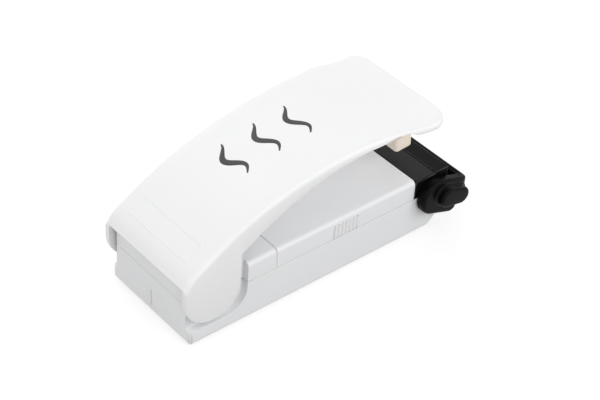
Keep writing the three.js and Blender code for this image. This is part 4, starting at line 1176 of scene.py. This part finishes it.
@dataclass
class Guard:
    """The black swing guard: two cheeks, a wall between them and a thumb boss on each.

    Sizes are millimetres, from the pivot in x and z and from the middle plane in y. A
    circle is its centre's x and z and its radius. The wall's ends are degrees above +X.
    """

    pivot_x: float = 42.8
    pivot_z: float = 13.9
    inner: float = 19.4
    inner_ease: float = 0.15
    thickness: float = 3.0
    overlap: float = 0.5
    cheek_circles: tuple[Triple, ...] = ((0.0, -0.5, 6.05), (11.3, -0.2, 2.5), (6.6, -6.3, 2.7))
    rim: float = 1.2
    tip: float = 13.8
    plan_radius: float = 4.0
    plan_soften: float = 0.35
    wall: float = 1.5
    swing_radius: float = 10.3
    wall_low: float = -44.0
    wall_high: float = 14.5
    boss_circles: tuple[Triple, ...] = ((3.0, -0.3, 3.4), (8.4, -1.8, 2.9))
    boss_proud: float = 2.6
    boss_root: float = 1.5
    boss_flare: float = 0.6
    boss_flare_height: float = 0.9
    boss_rim: float = 0.8
    cheek_steps: int = 22
    wall_rays: int = 60
    wall_steps: int = 25
    pin_radius: float = 1.8
    pin_reach: float = 2.0
    pin_ease: float = 0.3
    body_gap: float = 0.4

    def outline(self, circles: tuple[Triple, ...], inset: Array, count: int = 144) -> Array:
        """Outlines round a few circles, for many insets at once.

        In each direction the point lies on whichever circle reaches furthest that way, so the
        arcs are joined by their common tangents.

        Args:
            circles: The circles.
            inset: How far each outline is drawn in, (n,).
            count: Points round each outline.
        Returns:
            Points (n, count, 2) as x and z.
        """
        way, table = directions(full_turn(count)), np.array(circles)
        pick = np.argmax(way @ table[:, :2].T + table[:, 2], axis=1)
        return table[pick, :2] + (table[pick, 2] - inset[:, None])[..., None] * way

    def plan_cut(self, x: Array, y: Array) -> Array:
        """Holds x behind the rounded front corner of the plan.

        The limit is the tip, less what a quarter circle takes off beyond its start; x meets it
        by a soft minimum, limit - k log(1 + exp((limit - x) / k)), so that no edge is left.

        Args:
            x: Distances before the pivot.
            y: Distances from the middle plane.
        Returns:
            The held x values.
        """
        start = self.inner + self.thickness - self.plan_radius
        past = np.clip(y - start, 0, self.plan_radius)
        limit = self.tip - self.plan_radius + np.sqrt(self.plan_radius ** 2 - past ** 2)
        return limit - self.plan_soften * np.logaddexp(0, (limit - x) / self.plan_soften)

    def from_pivot(self, x: Array, y: Array, z: Array) -> Shell:
        """A surface through rings of points given from the pivot, each spread over the grid."""
        spread = np.broadcast_arrays(x + self.pivot_x, y, z + self.pivot_z)
        return ring_shell(np.stack(spread, axis=-1) * MM)

    def cheek(self, side: int) -> Shell:
        """A cheek whose outer rim is rounded by a quarter circle and whose inner one is eased.

        Its steps lie on the quarter circle of the plan's corner, and each outline is held
        behind that corner.

        Args:
            side: 1 or -1.
        Returns:
            The closed cheek.
        """
        far = self.inner + self.thickness
        start = far - self.plan_radius
        turn = np.arcsin((self.inner - start) / self.plan_radius)
        turns = np.linspace(turn, np.pi / 2, self.cheek_steps)
        steps = start + self.plan_radius * np.sin(turns)
        past = np.clip(steps - (far - self.rim), 0, self.rim)
        inset = self.rim - np.sqrt(self.rim ** 2 - past ** 2)
        steps = np.concatenate([[self.inner], steps[:1] + self.inner_ease, steps[1:]])[:, None]
        flat = self.outline(self.cheek_circles, np.concatenate([[self.inner_ease], inset]))
        return self.from_pivot(self.plan_cut(flat[..., 0], steps), side * steps, flat[..., 1])

    def boss(self, side: int) -> Shell:
        """A thumb boss: it leaves the cheek with a hollow flare and ends in a rounded rim.

        The flare and the rim are quarter circles, the first one stretched to its height.

        Args:
            side: 1 or -1.
        Returns:
            The closed boss.
        """
        face, (fall, rise) = self.inner + self.thickness, rounding(8)
        rim = face + self.boss_proud - self.boss_rim
        steps = np.concatenate([[face - self.boss_root], face + self.boss_flare_height * rise,
                                rim + self.boss_rim * np.sin(quarter(8))])
        inset = np.concatenate([[-self.boss_flare], -self.boss_flare * fall,
                                self.boss_rim * rise])
        flat = self.outline(self.boss_circles, inset)
        return self.from_pivot(flat[..., 0], side * steps[:, None], flat[..., 1])

    def reach(self, inset: float, bend: Array) -> Array:
        """Distance from the pivot to the cheek's outline in given directions.

        Args:
            inset: How far the outline is drawn in.
            bend: Directions, in radians above +X.
        Returns:
            The distances, by straight steps between the outline's points.
        """
        edge = self.outline(self.cheek_circles, np.array([inset]), 1440)[0]
        angles = np.arctan2(edge[:, 1], edge[:, 0])
        order = np.argsort(angles)
        return np.interp(bend, angles[order], np.linalg.norm(edge, axis=1)[order],
                         period=2 * np.pi)

    def front_wall(self) -> Shell:
        """The front wall: a band of the cheek's outline, drawn from cheek to cheek.

        In each direction from the pivot it runs from the outline inwards by the wall's
        thickness, but not into the circle in which the head passes while the guard swings.

        Returns:
            The closed wall.
        """
        bend = np.radians(np.linspace(self.wall_low, self.wall_high, self.wall_rays))
        ray = directions(bend)
        inner = np.maximum(self.reach(self.wall, bend), self.swing_radius)
        outer = self.reach(0.0, bend)
        band = np.concatenate([ray * outer[:, None], (ray * inner[:, None])[::-1]])
        end = self.inner + self.overlap
        between = np.linspace(-self.inner, self.inner, self.wall_steps)
        y = np.concatenate([[-end], between, [end]])[:, None]
        return self.from_pivot(self.plan_cut(band[None, :, 0], np.abs(y)), y, band[:, 1])

    def pin(self, side: int) -> Shell:
        """A pivot pin, which starts inside the cheek and crosses the gap to the body.

        Args:
            side: 1 or -1.
        Returns:
            The closed pin.
        """
        start = (self.pivot_x, side * (self.inner + self.overlap), self.pivot_z)
        length = self.overlap + self.body_gap + self.pin_reach
        return rod_shell(start, 1, -side * length, self.pin_radius, self.pin_ease)

    def build(self) -> None:
        """Builds the guard as one piece."""
        shells = [self.front_wall()]
        for side in (-1, 1):
            shells += [self.cheek(side), self.boss(side), self.pin(side)]
        make_piece("guard_moulding", shells, BLACK_GUARD, "guard",
                   ("safety_guard",), crease=40)


@dataclass(frozen=True)
class Coil:
    """A spring wound round one axis from its foot, in millimetres."""

    foot: Triple
    axis: Triple
    height: float
    turns: float
    wire: float
    radius: float
    tip_radius: float
    flattening: float = 0.04
    turn_steps: int = 40
    sides: int = 12

    def shell(self) -> Shell:
        """The wire: a circle carried along a helix whose end turns lie flatter.

        The height is the share of the way, less a small sine of two full waves.

        Returns:
            The closed wire.
        """
        share = np.linspace(0, 1, int(self.turns * self.turn_steps) + 1)
        angle = 2 * np.pi * self.turns * share
        radius = self.radius + share * (self.tip_radius - self.radius)
        climb = share - self.flattening * np.sin(4 * np.pi * share)
        rise = self.wire / 2 + (self.height - self.wire) * climb
        flat = np.column_stack([directions(angle), np.zeros_like(angle)])
        along, first = np.array(self.axis, float), np.array([0.0, 1.0, 0.0])
        turn = np.stack([first, np.cross(along, first), along])
        path = (flat * radius[:, None] + np.stack([0 * rise, 0 * rise, rise], axis=1)) @ turn
        path = (path + np.array(self.foot)) * MM
        return tube_shell(path, flat @ turn, self.wire / 2 * MM, self.sides)


CELL_SPRING = partial(Coil, height=2.5, turns=2.0, wire=0.5, radius=3.2, tip_radius=1.8)


@dataclass
class Power:
    """Cells, contacts, leads, the switch and the springs, in millimetres."""

    return_spring: Coil = Coil((-33.2, 0, 21.2), (0, 0, 1), height=8.0, turns=4.5, wire=0.8,
                               radius=3.3, tip_radius=3.3)
    cell_springs: tuple[Coil, ...] = (CELL_SPRING((-18.0, -7.45, 9.15), (1, 0, 0)),
                                      CELL_SPRING((35.3, 7.45, 9.15), (-1, 0, 0)))
    lead_radius: float = 0.6
    lead_steps: int = 14
    lead_sides: int = 14

    def dress(self) -> None:
        """Dresses the cells, the contacts and the switch."""
        dress(JACKET, *numbered("battery_cell", 2))
        dress(BRASS, "negative_contact", "positive_contact", "bridge_contact",
              "switch_leaf_upper", "switch_leaf_lower")
        dress(ZINC, "leaf_screw_upper", "leaf_screw_lower")

    def routes(self) -> dict[str, tuple[Finish, str, Route]]:
        """Routes of the three leads, as the solids have them.

        Returns:
            Finish, slot and points for each lead's node.
        """
        ends = {s: [(35.0, s * 16, 9.15), (37.8, s * 16, 9.15), (37.95, s * 15.4, 10.1),
                    (39.55, s * 14.8, 10.1), (41.15, s * 14.8, 10.1)] for s in (-1, 1)}
        positive = [(-18.55, 12.75, 4.62), (-18.55, 13.95, 4.62), (-17.35, 15.15, 4.62),
                    (-11.3, 16, 6.88), (-4.05, 16, 9.15), *ends[1]]
        switch = [(-19.25, -7.45, 9.15), (-21.05, -7.45, 9.15), (-25.7, -3.73, 9.15),
                  (-27.5, 0, 9.15), (-28.1, 4.45, 9.75), (-27.5, 8.3, 13.15),
                  (-25.7, 8.9, 13.75), (-24.5, 8.9, 13.75)]
        back = [(-35.7, -2.8, 16.2), (-35.7, -4.6, 16.2), (-33.3, -7.45, 13.9),
                (-29.4, -9.85, 9.75), (-23.3, -15.4, 9.15), (-19.1, -16, 9.15),
                (-4.6, -16, 9.15), *ends[-1]]
        return {"lead_positive": (RED, "red_sleeve", positive),
                "lead_switch": (JET, "black_sleeve", switch),
                "lead_return": (JET, "black_sleeve", back)}

    def lead(self, points: Route) -> Shell:
        """An insulated lead: a tube along a smooth curve through its route's points.

        Args:
            points: The route.
        Returns:
            The closed tube.
        """
        path = catmull(np.array(points), self.lead_steps)
        side = np.cross(np.gradient(path, axis=0), np.array([0.0, 0.0, 1.0]))
        return tube_shell(path * MM, side, self.lead_radius * MM, self.lead_sides)

    def build(self) -> None:
        """Builds the return spring, the cell springs and the leads."""
        piece = make_piece("return_spring", [self.return_spring.shell()], ZINC, "base",
                           ("lever_return_spring",))
        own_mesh(piece)
        for number, coil in enumerate(self.cell_springs, 1):
            make_piece(f"cell_spring_{number}", [coil.shell()], ZINC, "base",
                       (f"battery_spring_{number}",))
        for node, (finish, slot, points) in self.routes().items():
            make_piece(node.replace("lead_", "sleeved_lead_"), [self.lead(points)], finish,
                       "base", (node,))


# ---------------------------------------------------------------- studio


def axes_matrix(right: Triple, up: Triple, back: Triple, place: Triple) -> Matrix:
    """The matrix whose columns are three axes and a place."""
    rows = [[right[k], up[k], back[k], place[k]] for k in range(3)]
    return Matrix(rows + [[0, 0, 0, 1]])


@dataclass(frozen=True)
class Lamp:
    """One square soft lamp that faces the object: its place and side in metres, and watts."""

    name: str
    place: Triple
    size: float
    power: float
    target: Triple = (0, 0, 0.02)

    def build(self) -> None:
        """Hangs the lamp, with its back away from the target and its side level."""
        data = bpy.data.lights.new(self.name, "AREA")
        data.shape, data.size, data.energy = "SQUARE", self.size, self.power
        back = unit(np.array(self.place) - np.array(self.target))
        right = unit(np.cross(np.array([0.0, 0.0, 1.0]), back))
        lamp = link_object(self.name, data)
        lamp.matrix_world = axes_matrix(right, np.cross(back, right), back, self.place)


@dataclass
class Studio:
    """Camera, pale floor and soft lights: metres, with the lens and sensor in millimetres."""

    place: Triple = (-0.2533229, -0.2852164, 0.3210870)
    right: Triple = (0.76795738, -0.63800006, 0.05654552)
    up: Triple = (0.36366355, 0.50700128, 0.78147202)
    back: Triple = (-0.52724785, -0.57957366, 0.62137274)
    lens: float = 97.73
    sensor: float = 36.0
    clip: Pair = (0.01, 20.0)
    world: float = 0.66
    floor_shade: Triple = (0.36, 0.36, 0.36)
    floor_lift: float = 0.69
    floor_half: float = 1.5
    floor_height: float = -0.0002
    lamps: tuple[Lamp, ...] = (
        Lamp("near", (0.04, -0.5, 0.34), 0.2, 0.55),
        Lamp("glint", (-0.21, -0.48, 0.28), 0.06, 0.36),
        Lamp("front", (0.34, -0.4, 0.38), 0.22, 0.72),
        Lamp("far", (-0.1, 0.57, 0.4), 0.4, 0.5),
        Lamp("low", (0.16, 0.6, 0.14), 0.25, 1.8),
        Lamp("rear", (-0.62, 0.12, 0.22), 0.3, 0.8))

    def camera(self) -> None:
        """Makes the camera at the viewing angle that was fitted to the straight edges."""
        data = bpy.data.cameras.new("view_camera")
        data.lens, data.sensor_width = self.lens, self.sensor
        data.clip_start, data.clip_end = self.clip
        camera = link_object("view_camera", data)
        camera.matrix_world = axes_matrix(self.right, self.up, self.back, self.place)
        bpy.context.scene.camera = camera

    def seen_directly(self, nodes: Nodes) -> bpy.types.NodeSocket:
        """Tells the rays that show the background itself.

        Args:
            nodes: The tree of a material or world.
        Returns:
            1 for camera, glossy and transmission rays, and 0 for all others.
        """
        rays = nodes.add("ShaderNodeLightPath").outputs
        direct = nodes.math("MAXIMUM", rays["Is Camera Ray"], rays["Is Glossy Ray"])
        return nodes.math("MAXIMUM", direct, rays["Is Transmission Ray"])

    def floor(self) -> None:
        """Makes the pale floor, which keeps the object's shadow and is white elsewhere."""
        corners = [(x * self.floor_half, y * self.floor_half, self.floor_height)
                   for x, y in ((-1, -1), (1, -1), (1, 1), (-1, 1))]
        mesh = bpy.data.meshes.new("floor")
        mesh.from_pydata(corners, [], [(0, 1, 2, 3)])
        material = bpy.data.materials.new("pale_floor")
        nodes = empty_tree(material)
        diffuse = nodes.add("ShaderNodeBsdfDiffuse", Color=(*self.floor_shade, 1))
        lift = nodes.math("MULTIPLY", self.seen_directly(nodes), self.floor_lift)
        glow = nodes.add("ShaderNodeEmission", Color=(1, 1, 1, 1), Strength=lift)
        both = nodes.add("ShaderNodeAddShader", diffuse.outputs[0], glow.outputs[0])
        nodes.add("ShaderNodeOutputMaterial", Surface=both.outputs[0])
        mesh.materials.append(material)
        link_object("floor", mesh)

    def sky(self) -> None:
        """Makes the world: an even light on the object, and white where it is seen itself."""
        world = bpy.data.worlds.new("studio")
        nodes = empty_tree(world)
        strength = nodes.ramp(self.seen_directly(nodes), low=0.0, high=1.0, to_low=self.world)
        shade = nodes.add("ShaderNodeBackground", Color=(1, 1, 1, 1), Strength=strength)
        nodes.add("ShaderNodeOutputWorld", Surface=shade.outputs[0])
        bpy.context.scene.world = world

    def build(self) -> None:
        """Makes the camera, the floor, the world and the lamps, at a plain level."""
        self.camera()
        self.floor()
        self.sky()
        for lamp in self.lamps:
            lamp.build()
        bpy.context.scene.view_settings.view_transform = "Standard"


def main() -> None:
    """Builds the studio and each sub-assembly in order."""
    logging.basicConfig(level=logging.INFO, format="%(name)s %(message)s")
    Studio().build()
    body, lever, jaw, guard, power = Body(), Lever(), Jaw(), Guard(), Power()
    body.dress()
    body.build()
    lever.build()
    Marks(lever).build()
    jaw.dress()
    jaw.build()
    guard.build()
    power.dress()
    power.build()


if __name__ == "__main__":
    main()
